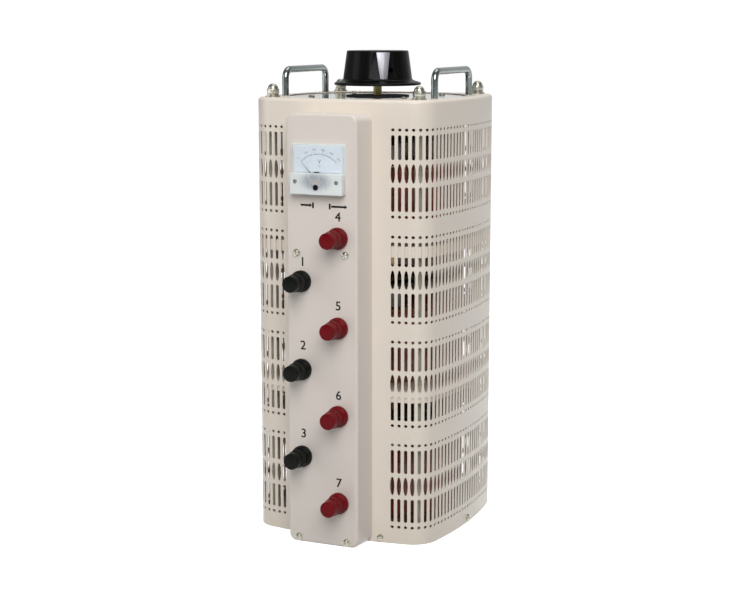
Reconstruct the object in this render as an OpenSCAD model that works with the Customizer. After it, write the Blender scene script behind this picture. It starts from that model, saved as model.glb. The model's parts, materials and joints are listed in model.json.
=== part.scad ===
// Three-phase variable autotransformer in an upright ventilated case.
// The origin is on the shaft axis at floor level, +Z is up and the front faces -Y.

/* [Case] */
// Width of the case across the middle of two opposite sides
case_w = 236; // [234:1:240]
// Radius of the gentle outward bulge of each side
bulge_r = 526; // [480:1:600]
// Radius of the four upright corners
corner_r = 29.5; // [27:0.5:32]
// Height of the case to its top flange
case_h = 506; // [504:1:510]
// Thickness of the case sheet
sheet_t = 1.2; // [1:0.1:1.5]
// Radius of the round opening in the top flange
top_open_r = 104; // [100:0.5:105]
// Distance of each tie rod from the centre planes
rod_off = 91; // [90:0.5:92]

/* [Ventilation] */
// Columns of holes round each half of the case
columns = 37; // [9:2:37]
// Distance of the first column from the centre plane
column_start = 69; // [66:0.5:72]
// Height of the lowest row of round holes
holes_low = 20; // [18:0.5:24]
// Height from one group of rows to the next
group_pitch = 119; // [118:0.5:119]
// Width of a slot, which is also the diameter of a round hole
slot_w = 3.5; // [3:0.1:4]

/* [Trays and coils] */
// Height of a tray, its plate and its turned-down rim
tray_h = 12.5; // [12:0.5:14]
// Distance from one tray to the next
tray_pitch = 165.7; // [164:0.1:166]
// Thickness of a tray's plate
tray_t = 2.5; // [2:0.1:3]
// Outer radius of a winding
coil_r = 97; // [94:0.5:98]
// Inner radius of a winding
coil_bore_r = 44; // [40:0.5:48]
// Height of a winding
coil_h = 80; // [76:0.5:82]

/* [Control] */
// Radius of the shaft
shaft_r = 5; // [4.5:0.1:5.5]
// Height of the knob's lower face
knob_z = 518; // [516:0.5:520]
// Height of the knob
knob_h = 40; // [38:0.5:42]
// Radius of the knob's skirt
skirt_r = 51; // [48:0.5:52]
// Direction of the pointer, measured from the front towards the right
pointer_angle = 34; // [30:1:40]

/* [Terminal cover] */
// Half width of the cover's flat face
cover_half = 40.6; // [40:0.1:42]
// Half width of the cover where it meets the case
cover_foot = 45; // [44:0.1:46]
// Distance from the shaft axis to the cover's face
cover_y = 149; // [148:0.5:150]
// Height of the cover
cover_h = 491; // [488:1:492]
// Sideways place of the meter
meter_x = -3.5; // [-5:0.1:-2]
// Height of the meter's centre
meter_z = 430.5; // [428:0.5:432]
// Sideways place of the input terminals
input_x = -27; // [-28:0.5:-26]
// Sideways place of the output terminals
output_x = 18.5; // [17:0.5:20]
// Height of the lowest output terminal
terminal_low = 51.5; // [50:0.5:53]
// Height from one terminal to the next in its column
terminal_pitch = 101; // [100:0.5:101.5]

/* [Handles] */
// Sideways place of each handle
handle_x = 94; // [93:0.5:95]
// Distance between a handle's two legs
handle_span = 107; // [105:0.5:108]
// Height of a handle's centre line above the case
handle_rise = 30; // [28:0.5:34]
// Radius of a handle's rod
handle_r = 4; // [3.5:0.1:4.2]

/* [Hidden] */
$fn = 72;

// Geometry of the bowed outline: the side arcs' centres lie bulge_off beyond the axis,
// and the corner arcs are centred on the diagonals at (corner_c, corner_c).
half_w = case_w / 2;
bulge_off = bulge_r - half_w;
arc_gap = bulge_r - corner_r;
corner_c = (sqrt(2 * arc_gap * arc_gap - bulge_off * bulge_off) - bulge_off) / 2;
corner_angle = atan2(corner_c, corner_c + bulge_off);

// Lengths along half of the outline, from the front centre round to the rear centre
rad = PI / 180;
front_len = bulge_r * corner_angle * rad;
corner_len = corner_r * (90 - 2 * corner_angle) * rad;
half_len = 4 * front_len + 2 * corner_len;
first_len = bulge_r * asin(column_start / bulge_r) * rad;
column_pitch = (half_len - 2 * first_len) / (columns - 1);

// Rows in one group of holes, measured from its lowest round hole
groups = 4;
dot_rise = 96.5;
slot_rows = [[5.7, 33.3], [63.2, 90.8]];
leaf_row = [37.3, 59.2];
leaf_w = 4.8;

// Front openings behind the terminal cover
wire_window = [-14, 14, 45, 320];
seam_gap = 0.6;

// Fastener sizes
rod_r = 4;
rod_hole_r = 4.3;
rod_tip = 10;
tube_r = 8;
stud_r = 3;
screw_r = 2;
screw_hole_r = 2.1;
handle_stud_r = 3;

// Heights
plate_t = 4;
plate_top = case_h - sheet_t;
plate_low = plate_top - plate_t;
tray_tops = [for (i = [0:2]) tray_h + i * tray_pitch];
pad_t = 5;
coil_top = pad_t + coil_h;
wire_t = 6;
track_t = 0.6;
shaft_gap = 0.05;

// Rods, handle legs and small plate screws, seen from above
rod_places = [for (x = [-1, 1], y = [-1, 1]) [x * rod_off, y * rod_off]];
leg_places = [for (x = [-1, 1], y = [-1, 1]) [x * handle_x, y * handle_span / 2]];
plate_screw_places = [for (x = [-58, 58], y = [-58, 58]) [x, y]];

// Terminals
input_places = [for (i = [0:2]) [input_x, terminal_low + (2.5 - i) * terminal_pitch]];
output_places = [for (i = [0:3]) [output_x, terminal_low + (3 - i) * terminal_pitch]];
terminal_places = concat(input_places, output_places);
collar_t = 9;
washer_t = 1;
cap_len = 21;
cap_y = cover_y + collar_t + washer_t;

// Cover screws: sideways place and height
cover_screw_places = [[-33, 336], [27, 336], [-33, 6], [27, 6]];

post_r = 4.5;

// Meter
meter_w = 64;
meter_h = 56;
meter_low = meter_z - meter_h / 2;
chin_h = 24;
drum_r = 24;
drum_z = meter_z - 3;
meter_screw_x = 25.3;
meter_screw_z = meter_z - 13.5;
zero_z = meter_low + 8.5;
flange_t = 3;
window_t = 8;
chin_t = 11;
needle_z = meter_low + 14;
needle_len = 29;
needle_rest = 43.7;

// Angle of the outline's outward normal at a length along it
function turn_at(s) =
    s < front_len ? s / bulge_r / rad
    : s < front_len + corner_len ? corner_angle + (s - front_len) / corner_r / rad
    : s < 3 * front_len + corner_len
        ? 90 - corner_angle + (s - front_len - corner_len) / bulge_r / rad
    : s < 3 * front_len + 2 * corner_len
        ? 90 + corner_angle + (s - 3 * front_len - corner_len) / corner_r / rad
    : 180 - corner_angle + (s - 3 * front_len - 2 * corner_len) / bulge_r / rad;

// Point of the outline whose outward normal has the given angle
function point_at(t) =
    t < corner_angle ? [bulge_r * sin(t), bulge_off - bulge_r * cos(t)]
    : t < 90 - corner_angle ? [corner_c + corner_r * sin(t), -corner_c - corner_r * cos(t)]
    : t < 90 + corner_angle ? [bulge_r * sin(t) - bulge_off, -bulge_r * cos(t)]
    : t < 180 - corner_angle ? [corner_c + corner_r * sin(t), corner_c - corner_r * cos(t)]
    : [bulge_r * sin(t), -bulge_off - bulge_r * cos(t)];

// Distance from the axis to the case's front face, and to the foot of a post standing on it
function face_at(x) = sqrt(bulge_r * bulge_r - x * x) - bulge_off;
function post_foot(x) = face_at(abs(x) - post_r) + 0.02;

module bowed_square(inset) {
    reach = 60;
    side = bulge_r - inset;
    difference() {
        intersection_for (a = [0:90:270])
            rotate(a) translate([0, bulge_off]) circle(side, $fn = 720);
        for (a = [0:90:270])
            rotate(a) translate([corner_c, corner_c]) polygon([
                [0, 0],
                [reach * sin(corner_angle), reach * cos(corner_angle)],
                [reach, reach],
                [reach * cos(corner_angle), reach * sin(corner_angle)]
            ]);
    }
    for (a = [0:90:270])
        rotate(a) translate([corner_c, corner_c]) circle(corner_r - inset);
}

module slot(low, high) {
    r = slot_w / 2;
    translate([-r, low + r]) square([slot_w, high - low - slot_w]);
    for (z = [low + r, high - r]) translate([0, z]) circle(r, $fn = 16);
}

module leaf(low, high) {
    half = (high - low) / 2;
    r = (half * half + leaf_w * leaf_w / 4) / leaf_w;
    translate([0, low + half]) intersection() {
        translate([r - leaf_w / 2, 0]) circle(r);
        translate([leaf_w / 2 - r, 0]) circle(r);
    }
}

module hole_column() {
    for (i = [0:groups - 1]) translate([0, holes_low + i * group_pitch]) {
        for (z = [0, dot_rise]) translate([0, z]) circle(slot_w / 2, $fn = 16);
        for (row = slot_rows) slot(row[0], row[1]);
        leaf(leaf_row[0], leaf_row[1]);
    }
}

module ventilation() {
    for (i = [0:columns - 1]) {
        t = turn_at(first_len + i * column_pitch);
        p = point_at(t);
        translate([p[0], p[1], 0]) rotate([90, 0, t])
            linear_extrude(8, center = true) hole_column();
    }
}

// A rod along -Y whose far end is at y = -far
module rod_y(r, near, far, x = 0, z = 0, fn = 48) {
    translate([x, -near, z]) rotate([90, 0, 0]) cylinder(r = r, h = far - near, $fn = fn);
}

module tube_z(outer, inner, low, high) {
    translate([0, 0, low]) difference() {
        cylinder(r = outer, h = high - low);
        translate([0, 0, -1]) cylinder(r = inner, h = high - low + 2);
    }
}

// Places where the screws enter the case: x, y, height and direction of the outward normal
function case_screw(t, z) = [point_at(t)[0], point_at(t)[1], z, t];
screw_side = asin(55 / bulge_r);
low_screws = [for (s = [1, -1], t = [screw_side, 90, 180 - screw_side])
    let (c = case_screw(t, 6)) [s * c[0], c[1], c[2], s * c[3]]];
seam_screws = [for (x = [-9, 9], z = [60, 185, 315, 440]) [x, half_w - 0.01, z, 180]];

module case_shell(side) {
    difference() {
        linear_extrude(case_h) bowed_square(0);
        translate([0, 0, -1]) linear_extrude(plate_top + 1) bowed_square(sheet_t);
        translate([0, 0, plate_low]) cylinder(r = top_open_r, h = 10);
        translate([side < 0 ? -seam_gap / 2 : -2 * case_w + seam_gap / 2, -case_w, -1])
            cube([2 * case_w, 2 * case_w, case_h + 2]);
        mirror([side < 0 ? 1 : 0, 0, 0]) ventilation();
        translate([wire_window[0], -half_w - 5, wire_window[2]])
            cube([wire_window[1] - wire_window[0], 15, wire_window[3] - wire_window[2]]);
        rod_y(drum_r + 2.5, half_w - 10, half_w + 10, meter_x, drum_z);
        for (p = rod_places) translate([p[0], p[1], plate_low]) cylinder(r = rod_hole_r, h = 9);
        for (p = leg_places) translate([p[0], p[1], plate_low])
            cylinder(r = handle_stud_r + 0.1, h = 9);
        for (c = concat(low_screws, seam_screws)) screw_hole(c);
        for (p = cover_screw_places) rod_y(screw_hole_r, half_w - 10, half_w + 3, p[0], p[1]);
    }
}

module screw_hole(c) {
    translate([c[0], c[1], c[2]]) rotate([90, 0, c[3]])
        cylinder(r = screw_hole_r, h = 14, center = true, $fn = 24);
}

// Pan-head screw with its head's seat at the origin and its shank along -Z
module pan_screw(length) {
    translate([0, 0, -length]) cylinder(r = screw_r, h = length, $fn = 24);
    difference() {
        rotate_extrude($fn = 32) polygon([[0, 0], [3.8, 0], [3.8, 1.2], [3, 2.2], [1.6, 2.7], [0, 2.7]]);
        translate([-5, -0.5, 1.5]) cube([10, 1, 3]);
    }
}

module left_shell() { color("antiquewhite") case_shell(-1); }

module right_shell() { color("antiquewhite") case_shell(1); }

// A tray follows the inside of the case: a plate on top with its rim turned down
module tray(top) {
    translate([0, 0, top - tray_h]) difference() {
        linear_extrude(tray_h) bowed_square(sheet_t + 0.3);
        translate([0, 0, -1]) linear_extrude(tray_h - tray_t + 1)
            bowed_square(sheet_t + 0.3 + tray_t);
        for (p = rod_places) translate([p[0], p[1], -1]) cylinder(r = rod_hole_r, h = 20);
    }
}

module base_plate() {
    color("gainsboro") difference() {
        tray(tray_tops[0]);
        for (c = low_screws) screw_hole(c);
        for (p = cover_screw_places) rod_y(screw_hole_r, half_w - 10, half_w, p[0], p[1]);
        translate([0, 0, tray_h - 5]) cylinder(r = 10, h = 10);
    }
}

module shelves() {
    color("gainsboro") for (i = [1, 2]) difference() {
        tray(tray_tops[i]);
        translate([0, 0, tray_tops[i] - 20]) cylinder(r = coil_bore_r, h = 30);
        translate([-20, -half_w - 5, tray_tops[i] - 20]) cube([40, 22, 30]);
        for (p = cover_screw_places) rod_y(screw_hole_r, half_w - 10, half_w, p[0], p[1]);
    }
}

module seam_strips() {
    color("lightgray") difference() {
        union() {
            for (top = tray_tops) translate([-15, half_w - sheet_t - 1.8, top + 1])
                cube([30, 1.5, 150]);
        }
        for (c = seam_screws) screw_hole(c);
    }
}

module top_plate() {
    color("silver") difference() {
        translate([0, 0, plate_low]) linear_extrude(plate_t) bowed_square(sheet_t + 0.5);
        translate([0, 0, plate_low - 1]) cylinder(r = 9, h = 10);
        for (p = rod_places) translate([p[0], p[1], plate_low - 1]) cylinder(r = rod_hole_r, h = 9);
        for (p = leg_places) translate([p[0], p[1], plate_low - 1])
            cylinder(r = handle_stud_r + 0.1, h = 9);
        for (p = plate_screw_places) translate([p[0], p[1], plate_low - 1])
            cylinder(r = screw_hole_r, h = 9);
    }
}

module bearing_cover() {
    color("black") tube_z(37, shaft_r + 0.5, plate_top, plate_top + 1.5);
}

module shaft_bearings() {
    color("goldenrod") {
        difference() {
            union() {
                translate([0, 0, plate_low - 10]) cylinder(r = 9, h = plate_t + 10);
                translate([0, 0, plate_low - 3]) cylinder(r = 14, h = 3);
            }
            translate([0, 0, plate_low - 11]) cylinder(r = shaft_r + shaft_gap, h = 30);
        }
        difference() {
            union() {
                cylinder(r = 14, h = tray_h - tray_t);
                cylinder(r = 10, h = tray_h + 8);
            }
            translate([0, 0, 6]) cylinder(r = shaft_r + shaft_gap, h = 30);
        }
    }
}

module tie_rods() {
    color("silver") for (p = rod_places) translate([p[0], p[1], 2])
        cylinder(r = rod_r, h = case_h + rod_tip - 2);
}

module spacer_tubes() {
    color("darkseagreen") for (p = rod_places) translate([p[0], p[1], 0]) {
        tube_z(tube_r, rod_hole_r, tray_tops[0], tray_tops[1] - tray_t);
        tube_z(tube_r, rod_hole_r, tray_tops[1], tray_tops[2] - tray_t);
        tube_z(tube_r, rod_hole_r, tray_tops[2], plate_low);
    }
}

module acorn_nuts() {
    hex_r = 6.5 / cos(30);
    color("silver") for (p = rod_places) translate([p[0], p[1], 0]) {
        difference() {
            translate([0, 0, case_h + 3.6]) {
                cylinder(r = hex_r, h = 5.6, $fn = 6);
                translate([0, 0, 5.6]) sphere(r = 6, $fn = 48);
            }
            translate([0, 0, case_h]) cylinder(r = rod_r, h = rod_tip);
        }
        difference() {
            translate([0, 0, tray_h - tray_t - 6.5]) cylinder(r = hex_r, h = 6.5, $fn = 6);
            cylinder(r = rod_r, h = tray_h);
        }
    }
}

module nut_washers() {
    color("silver") for (p = rod_places) translate([p[0], p[1], 0]) {
        tube_z(8.3, rod_hole_r, case_h, case_h + 1.6);
        tube_z(6.8, rod_hole_r, case_h + 1.6, case_h + 3.6);
    }
}

module coil_pads() {
    color("saddlebrown") for (top = tray_tops) tube_z(coil_r - 9, coil_bore_r + 9, top, top + pad_t);
}

module toroid_cores() {
    color("dimgray") for (top = tray_tops)
        tube_z(coil_r - wire_t, coil_bore_r + wire_t, top + pad_t + wire_t, top + coil_top - wire_t);
}

module windings() {
    edge = 8;
    color("brown") for (top = tray_tops) translate([0, 0, top + pad_t]) difference() {
        rotate_extrude($fn = 96) {
            translate([coil_bore_r + edge, 0]) square([coil_r - coil_bore_r - 2 * edge, coil_h]);
            translate([coil_bore_r, edge]) square([coil_r - coil_bore_r, coil_h - 2 * edge]);
            for (r = [coil_bore_r + edge, coil_r - edge], z = [edge, coil_h - edge])
                translate([r, z]) circle(edge, $fn = 32);
        }
        tube_z(coil_r - wire_t, coil_bore_r + wire_t, wire_t, coil_h - wire_t);
    }
}

module brush_tracks() {
    color("orange") for (top = tray_tops)
        tube_z(coil_r - 9, coil_r - 25, top + coil_top, top + coil_top + track_t);
}

module main_shaft() {
    color("darkkhaki") translate([0, 0, 6 + shaft_gap])
        cylinder(r = shaft_r, h = knob_z + 26 - 6 - shaft_gap);
}

// Place on the knob's cone: the local X axis points outwards and Z runs up the slope
module on_cone(angle, z) {
    foot_r = 40.6;
    head_r = 36.2;
    slope = atan2(foot_r - head_r, knob_h - 7);
    r = foot_r - (z - 7) * tan(slope);
    rotate([0, 0, angle - 90]) translate([r, 0, knob_z + z]) rotate([0, -slope, 0]) children();
}

module pointer_wedge(deep) {
    rotate([90, 0, 90]) translate([0, 0, -2.2]) linear_extrude(deep)
        polygon([[-4.1, 0], [4.1, 0], [8.1, 31], [-8.1, 31]]);
}

module control_knob() {
    color("black") difference() {
        translate([0, 0, knob_z]) rotate_extrude($fn = 96) polygon([
            [0, 0], [49.6, 0], [skirt_r, 1.2], [skirt_r, 2.4], [49.8, 3.4],
            [40.6, 7], [36.2, knob_h - 1], [35.2, knob_h], [0, knob_h]
        ]);
        translate([0, 0, knob_z - 1]) cylinder(r = shaft_r, h = 27);
        on_cone(pointer_angle, 7.6) pointer_wedge(6);
        for (side = [-1, 1]) on_cone(pointer_angle + side * 20.6, 8.6)
            rotate([90, 0, 90]) translate([0, 0, -1.6]) linear_extrude(8)
            polygon([[-4.6, 0], [4.6, 0], [side * 1.3 + 2.3, 29], [side * 1.3 - 2.3, 29]]);
        translate([0, 0, knob_z + 17.5]) rotate([0, 90, pointer_angle + 14.5 - 90])
            cylinder(r = 2.5, h = 60, $fn = 32);
    }
}

module knob_pointer() {
    color("white") on_cone(pointer_angle, 7.6) pointer_wedge(3);
}

module knob_set_screw() {
    color("dimgray") translate([0, 0, knob_z + 17.5]) rotate([0, 90, pointer_angle + 14.5 - 90])
        translate([0, 0, shaft_r]) difference() {
            cylinder(r = 2.5, h = 14, $fn = 32);
            translate([0, 0, 11]) cylinder(r = 1.25, h = 5, $fn = 6);
        }
}

// Heights of the moving brush gear above its tray
arm_low = coil_top + 15;
arm_t = 9;
hub_high = arm_low + 16;
ring_low = hub_high + 8;
brush_place = coil_r - 17;

module each_level() {
    for (top = tray_tops) translate([0, 0, top]) rotate([0, 0, pointer_angle - 90]) children();
}

module hub_bushes() {
    color("saddlebrown") each_level() difference() {
        union() {
            translate([0, 0, arm_low - 6]) cylinder(r = 9, h = ring_low + 16 - arm_low);
            translate([0, 0, arm_low - 6]) cylinder(r = 14, h = 6);
        }
        cylinder(r = shaft_r, h = 400);
    }
}

module brush_arms() {
    color("lightgray") each_level() difference() {
        union() {
            translate([0, 0, arm_low]) cylinder(r = 18, h = 16);
            translate([0, -10, arm_low]) cube([brush_place + 8, 20, arm_t]);
            translate([brush_place - 9, -11, coil_top + 5]) cube([18, 22, arm_low - coil_top + 4]);
        }
        cylinder(r = 9, h = 400);
        translate([brush_place - 5, -7, coil_top]) cube([10, 14, 14]);
    }
}

module heat_sinks() {
    color("silver") each_level() {
        tube_z(70, 18, hub_high - 6, hub_high - 3);
        tube_z(62, 9, hub_high, hub_high + 3);
    }
}

module carbon_brushes() {
    color("dimgray") each_level()
        translate([brush_place - 5, -7, coil_top + track_t + 0.1]) cube([10, 14, 12]);
}

module collector_rings() {
    color("goldenrod") each_level() tube_z(16, 9, ring_low, ring_low + 7);
}

stop_pin_place = 27;
stop_z = plate_low - 20;

module stop_arm() {
    color("silver") rotate([0, 0, pointer_angle - 90]) difference() {
        union() {
            translate([0, 0, stop_z]) cylinder(r = 10, h = 7);
            translate([0, -4, stop_z]) cube([stop_pin_place + 5, 8, 7]);
        }
        cylinder(r = shaft_r, h = case_h);
    }
}

// The pin stands just past the arm's rest side, so that the arm turns 320 degrees away from it
module stop_post() {
    color("silver") rotate([0, 0, pointer_angle - 90 + 20])
        translate([stop_pin_place, 0, stop_z - 2]) cylinder(r = 4, h = plate_low - stop_z + 2);
}

// A sprung finger hangs from the plate above and rubs on the collector ring
module collector_fingers() {
    ceilings = [tray_tops[1] - tray_t, tray_tops[2] - tray_t, plate_low];
    color("peru") for (i = [0:2]) {
        low = tray_tops[i] + ring_low + 3;
        translate([34, -40, low + 8]) cylinder(r = 6, h = ceilings[i] - low - 8);
        translate([28, -46, low]) cube([12, 12, 8]);
        translate([0, 0, low]) difference() {
            translate([16.2, -40, 0]) cube([11.8, 52, 3]);
            translate([17.7, -32, -1]) cube([12, 60, 5]);
        }
    }
}

module collars(places) {
    for (p = places) {
        difference() {
            union() {
                rod_y(12.25, cover_y, cover_y + 5, p[0], p[1]);
                rod_y(10.6, cover_y + 5, cover_y + collar_t, p[0], p[1]);
                rod_y(6.9, cover_y - sheet_t, cover_y, p[0], p[1]);
            }
            rod_y(stud_r, cover_y - 5, cover_y + 20, p[0], p[1]);
        }
        difference() {
            rod_y(10, cover_y - sheet_t - 3, cover_y - sheet_t, p[0], p[1]);
            rod_y(stud_r, cover_y - 5, cover_y + 20, p[0], p[1]);
        }
    }
}

module input_collars() { color("black") collars(input_places); }

module output_collars() { color("crimson") collars(output_places); }

module terminal_studs() {
    color("goldenrod") for (p = terminal_places)
        rod_y(stud_r, cover_y - 20, cap_y + 12, p[0], p[1]);
}

module terminal_nuts() {
    color("goldenrod") for (p = terminal_places) {
        lug(p);
        for (far = [4.2, 10.4]) difference() {
            rod_y(5 / cos(30), cover_y - far - 5, cover_y - far, p[0], p[1], 6);
            rod_y(stud_r, cover_y - 20, cover_y, p[0], p[1]);
        }
    }
}

module clamp_washer(p) {
    color("silver") difference() {
        rod_y(7.5, cap_y - washer_t, cap_y - 0.05, p[0], p[1]);
        rod_y(stud_r + shaft_gap, cap_y - 5, cap_y + 5, p[0], p[1]);
    }
}

module terminal_cap(p) {
    translate([p[0], -cap_y, p[1]]) rotate([90, 0, 0]) difference() {
        rotate_extrude() polygon([
            [0, 0], [9.6, 0], [10.2, 0.8], [10.2, 5], [9.5, 6], [9.5, 8], [9.2, 9],
            [9, cap_len - 1], [8.2, cap_len], [0, cap_len]
        ]);
        translate([0, 0, -1]) cylinder(r = stud_r + shaft_gap, h = 14, $fn = 48);
    }
}

module meter_case() {
    color("whitesmoke") difference() {
        union() {
            translate([meter_x - meter_w / 2, -cover_y - flange_t, meter_low])
                cube([meter_w, flange_t, meter_h]);
            translate([meter_x - meter_w / 2, -cover_y - chin_t, meter_low])
                cube([meter_w, chin_t, chin_h]);
            rod_y(drum_r, cover_y - 38, cover_y, meter_x, drum_z);
        }
        rod_y(drum_r - 2, cover_y - 36, cover_y + 2, meter_x, drum_z);
        translate([meter_x - meter_w / 2 + 2, -cover_y - chin_t + 1.6, meter_low + 2])
            cube([meter_w - 4, chin_t - 1.6 - 2, meter_h - 4]);
        for (s = [-1, 1]) rod_y(1.6, cover_y - 5, cover_y + 20, meter_x + s * meter_screw_x, meter_screw_z);
        rod_y(2.65, cover_y, cover_y + 20, meter_x, zero_z);
    }
}

module meter_window() {
    color("lightblue", 0.4) difference() {
        translate([meter_x - meter_w / 2, -cover_y - window_t, meter_low + chin_h])
            cube([meter_w, window_t - flange_t, meter_h - chin_h]);
        translate([meter_x - meter_w / 2 + 2, -cover_y - window_t + 1.4, meter_low + chin_h - 1])
            cube([meter_w - 4, window_t, meter_h - chin_h - 1]);
    }
}

module meter_dial() {
    color("aliceblue") difference() {
        translate([meter_x - 29.6, -cover_y - 2.8, meter_low + 2.4])
            cube([59.2, 0.8, meter_h - 4.8]);
        rod_y(4, cover_y, cover_y + 10, meter_x, needle_z);
        for (s = [-1, 1]) rod_y(1.6, cover_y, cover_y + 10, meter_x + s * meter_screw_x, meter_screw_z);
    }
}

module meter_movement() {
    color("dimgray") difference() {
        rod_y(13, cover_y - 36, cover_y - 4, meter_x, needle_z + 5);
        rod_y(0.85, cover_y - 25, cover_y, meter_x, needle_z);
    }
}

module meter_needle() {
    color("black") {
        rod_y(0.8, cover_y - 20, cover_y + 5, meter_x, needle_z, 24);
        translate([meter_x, -cover_y - 5, needle_z]) rotate([0, -needle_rest, 0]) {
            rotate([90, 0, 0]) cylinder(r = 3, h = 0.8, $fn = 32);
            translate([-0.5, -0.8, 0]) cube([1, 0.8, needle_len]);
            translate([-1.2, -0.8, -8]) cube([2.4, 0.8, 8]);
        }
    }
}

module meter_zero_screw() {
    color("black") difference() {
        union() {
            rod_y(2.6, cover_y + chin_t - 3, cover_y + chin_t, meter_x, zero_z);
            rod_y(3.2, cover_y + chin_t + 0.05, cover_y + chin_t + 1.2, meter_x, zero_z);
            rod_y(2.6, cover_y + chin_t, cover_y + chin_t + 1, meter_x, zero_z);
        }
        translate([meter_x - 4, -cover_y - chin_t - 2, meter_low + 8.1]) cube([8, 1.4, 0.8]);
    }
}

module meter_screws() {
    color("silver") for (s = [-1, 1]) {
        rod_y(1.6, cover_y - 6, cover_y + chin_t, meter_x + s * meter_screw_x, meter_screw_z, 24);
        rod_y(2.4, cover_y + chin_t, cover_y + chin_t + 1, meter_x + s * meter_screw_x, meter_screw_z, 24);
    }
}

module carry_handles() {
    bend_r = 10;
    color("silver") for (x = [-handle_x, handle_x]) translate([x, 0, case_h]) {
        for (s = [-1, 1]) translate([0, s * handle_span / 2, 0]) {
            cylinder(r = handle_r, h = handle_rise - bend_r);
            translate([0, 0, -14]) cylinder(r = handle_stud_r, h = 14);
            translate([0, -s * bend_r, handle_rise - bend_r]) rotate([0, 0, s * 90])
                rotate([90, 0, 0]) rotate_extrude(angle = 90)
                translate([bend_r, 0]) circle(handle_r, $fn = 32);
        }
        translate([0, -handle_span / 2 + bend_r, handle_rise]) rotate([-90, 0, 0])
            cylinder(r = handle_r, h = handle_span - 2 * bend_r);
    }
}

module handle_nuts() {
    color("silver") for (p = leg_places) translate([p[0], p[1], plate_low - 5]) difference() {
        cylinder(r = 5 / cos(30), h = 5, $fn = 6);
        translate([0, 0, -1]) cylinder(r = handle_stud_r, h = 7);
    }
}

module cover_section(inset) {
    foot_y = -face_at(cover_foot) - 0.1;
    polygon([
        [-cover_foot + inset, foot_y + inset * 4], [-cover_half + inset, inset - cover_y],
        [cover_half - inset, inset - cover_y], [cover_foot - inset, foot_y + inset * 4]
    ]);
}

module terminal_cover() {
    color("antiquewhite") difference() {
        linear_extrude(cover_h) cover_section(0);
        translate([0, 0, sheet_t]) linear_extrude(cover_h - 2 * sheet_t) cover_section(sheet_t);
        translate([0, 0, -1]) linear_extrude(cover_h + 2) bowed_square(-0.1);
        for (p = terminal_places) rod_y(6.9, cover_y - 10, cover_y + 5, p[0], p[1]);
        for (p = cover_screw_places) rod_y(screw_hole_r, cover_y - 10, cover_y + 5, p[0], p[1]);
        rod_y(drum_r + 0.2, cover_y - 10, cover_y + 5, meter_x, drum_z);
        for (s = [-1, 1]) rod_y(1.7, cover_y - 10, cover_y + 5, meter_x + s * meter_screw_x, meter_screw_z);
    }
}

module cover_posts() {
    color("silver") for (p = cover_screw_places) difference() {
        union() {
            rod_y(post_r, post_foot(p[0]), cover_y - sheet_t, p[0], p[1]);
            rod_y(screw_r, half_w - 7, post_foot(p[0]) + 1, p[0], p[1], 24);
        }
        rod_y(screw_r, cover_y - 12, cover_y, p[0], p[1], 24);
    }
}

module cover_screws() {
    color("silver") for (p = cover_screw_places) {
        translate([p[0], -cover_y - 0.8, p[1]]) rotate([90, 0, 0]) pan_screw(10);
        difference() {
            rod_y(4.6, cover_y, cover_y + 0.8, p[0], p[1]);
            rod_y(screw_r, cover_y - 1, cover_y + 2, p[0], p[1]);
        }
    }
}

module case_screws() {
    color("silver") {
        for (c = concat(low_screws, seam_screws))
            translate([c[0], c[1], c[2]]) rotate([90, 0, c[3]]) pan_screw(6);
        for (p = plate_screw_places) translate([p[0], p[1], plate_top]) pan_screw(10);
    }
}

// Leads run from a terminal's lug through the front window. The points are the bends of the run.
lead_r = 1.8;
lug_y = cover_y - 9.8;
gap_y = 107;
coil_y = coil_r + 0.2;

// Heights of the winding's outer face and of the collector finger that a lead reaches
function finger_z(i) = tray_tops[2 - i] + ring_low + 7;

input_leads = [for (i = [0:2]) let (
    start = input_places[i][1], z = start - 34, top = tray_tops[2 - i] + 20
) concat([
    [input_x, -lug_y, start - 10], [input_x, -lug_y, start - 18], [-20, -133, z + 6],
    [-11, -124, z], [-10, -114, z]
], top > z ? [[-10, -gap_y, z + 7], [-10, -gap_y, top - 7]] : [], [
    [-10, -coil_y, max(top, z)]
])];
output_leads = [for (i = [0:2]) let (
    start = output_places[i][1], z = min(start - 34, wire_window[3] - 8), top = finger_z(i)
) [
    [output_x, -lug_y, start - 10], [output_x, -lug_y, start - 18], [14, -133, z + 6],
    [10, -124, z], [9, -113, z + 1], [9, -gap_y, z + 8], [9, -gap_y, top - 8],
    [12, -gap_y + 6, top], [34, -60, top], [34, -46, top]
]];
common_lead = let (z = output_places[3][1]) [
    [output_x, -lug_y, z - 10], [output_x, -lug_y + 2, z - 16], [13, -131, z - 12],
    [10, -123, z], [9, -114, z + 6], [9, -coil_y, z + 6]
];
common_links = [for (i = [0, 1]) let (low = tray_tops[i] + 60, high = tray_tops[i + 1] + 24) [
    [0, -coil_y, low], [0, -gap_y + 3, low + 2], [0, -gap_y, low + 8],
    [0, -gap_y, high - 8], [0, -gap_y + 3, high - 2], [0, -coil_y, high]
]];

// A tube swept along a route, as one closed solid with eight sides
function unit(v) = v / norm(v);
function heading(path, i) =
    unit(path[min(i + 1, len(path) - 1)] - path[max(i - 1, 0)]);
function ring(centre, dir, r) = let (
    side = unit(cross(dir, abs(dir[2]) > 0.9 ? [1, 0, 0] : [0, 0, 1])),
    lift = cross(side, dir)
) [for (k = [0:7]) centre + r * (cos(k * 45) * side + sin(k * 45) * lift)];

module lead(path) {
    n = len(path);
    points = [for (i = [0:n - 1]) each ring(path[i], heading(path, i), lead_r)];
    sides = [for (i = [0:n - 2], k = [0:7]) [
        i * 8 + k, i * 8 + (k + 1) % 8, (i + 1) * 8 + (k + 1) % 8, (i + 1) * 8 + k
    ]];
    ends = [[for (k = [7:-1:0]) k], [for (k = [0:7]) (n - 1) * 8 + k]];
    polyhedron(points, concat(sides, ends));
}

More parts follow.
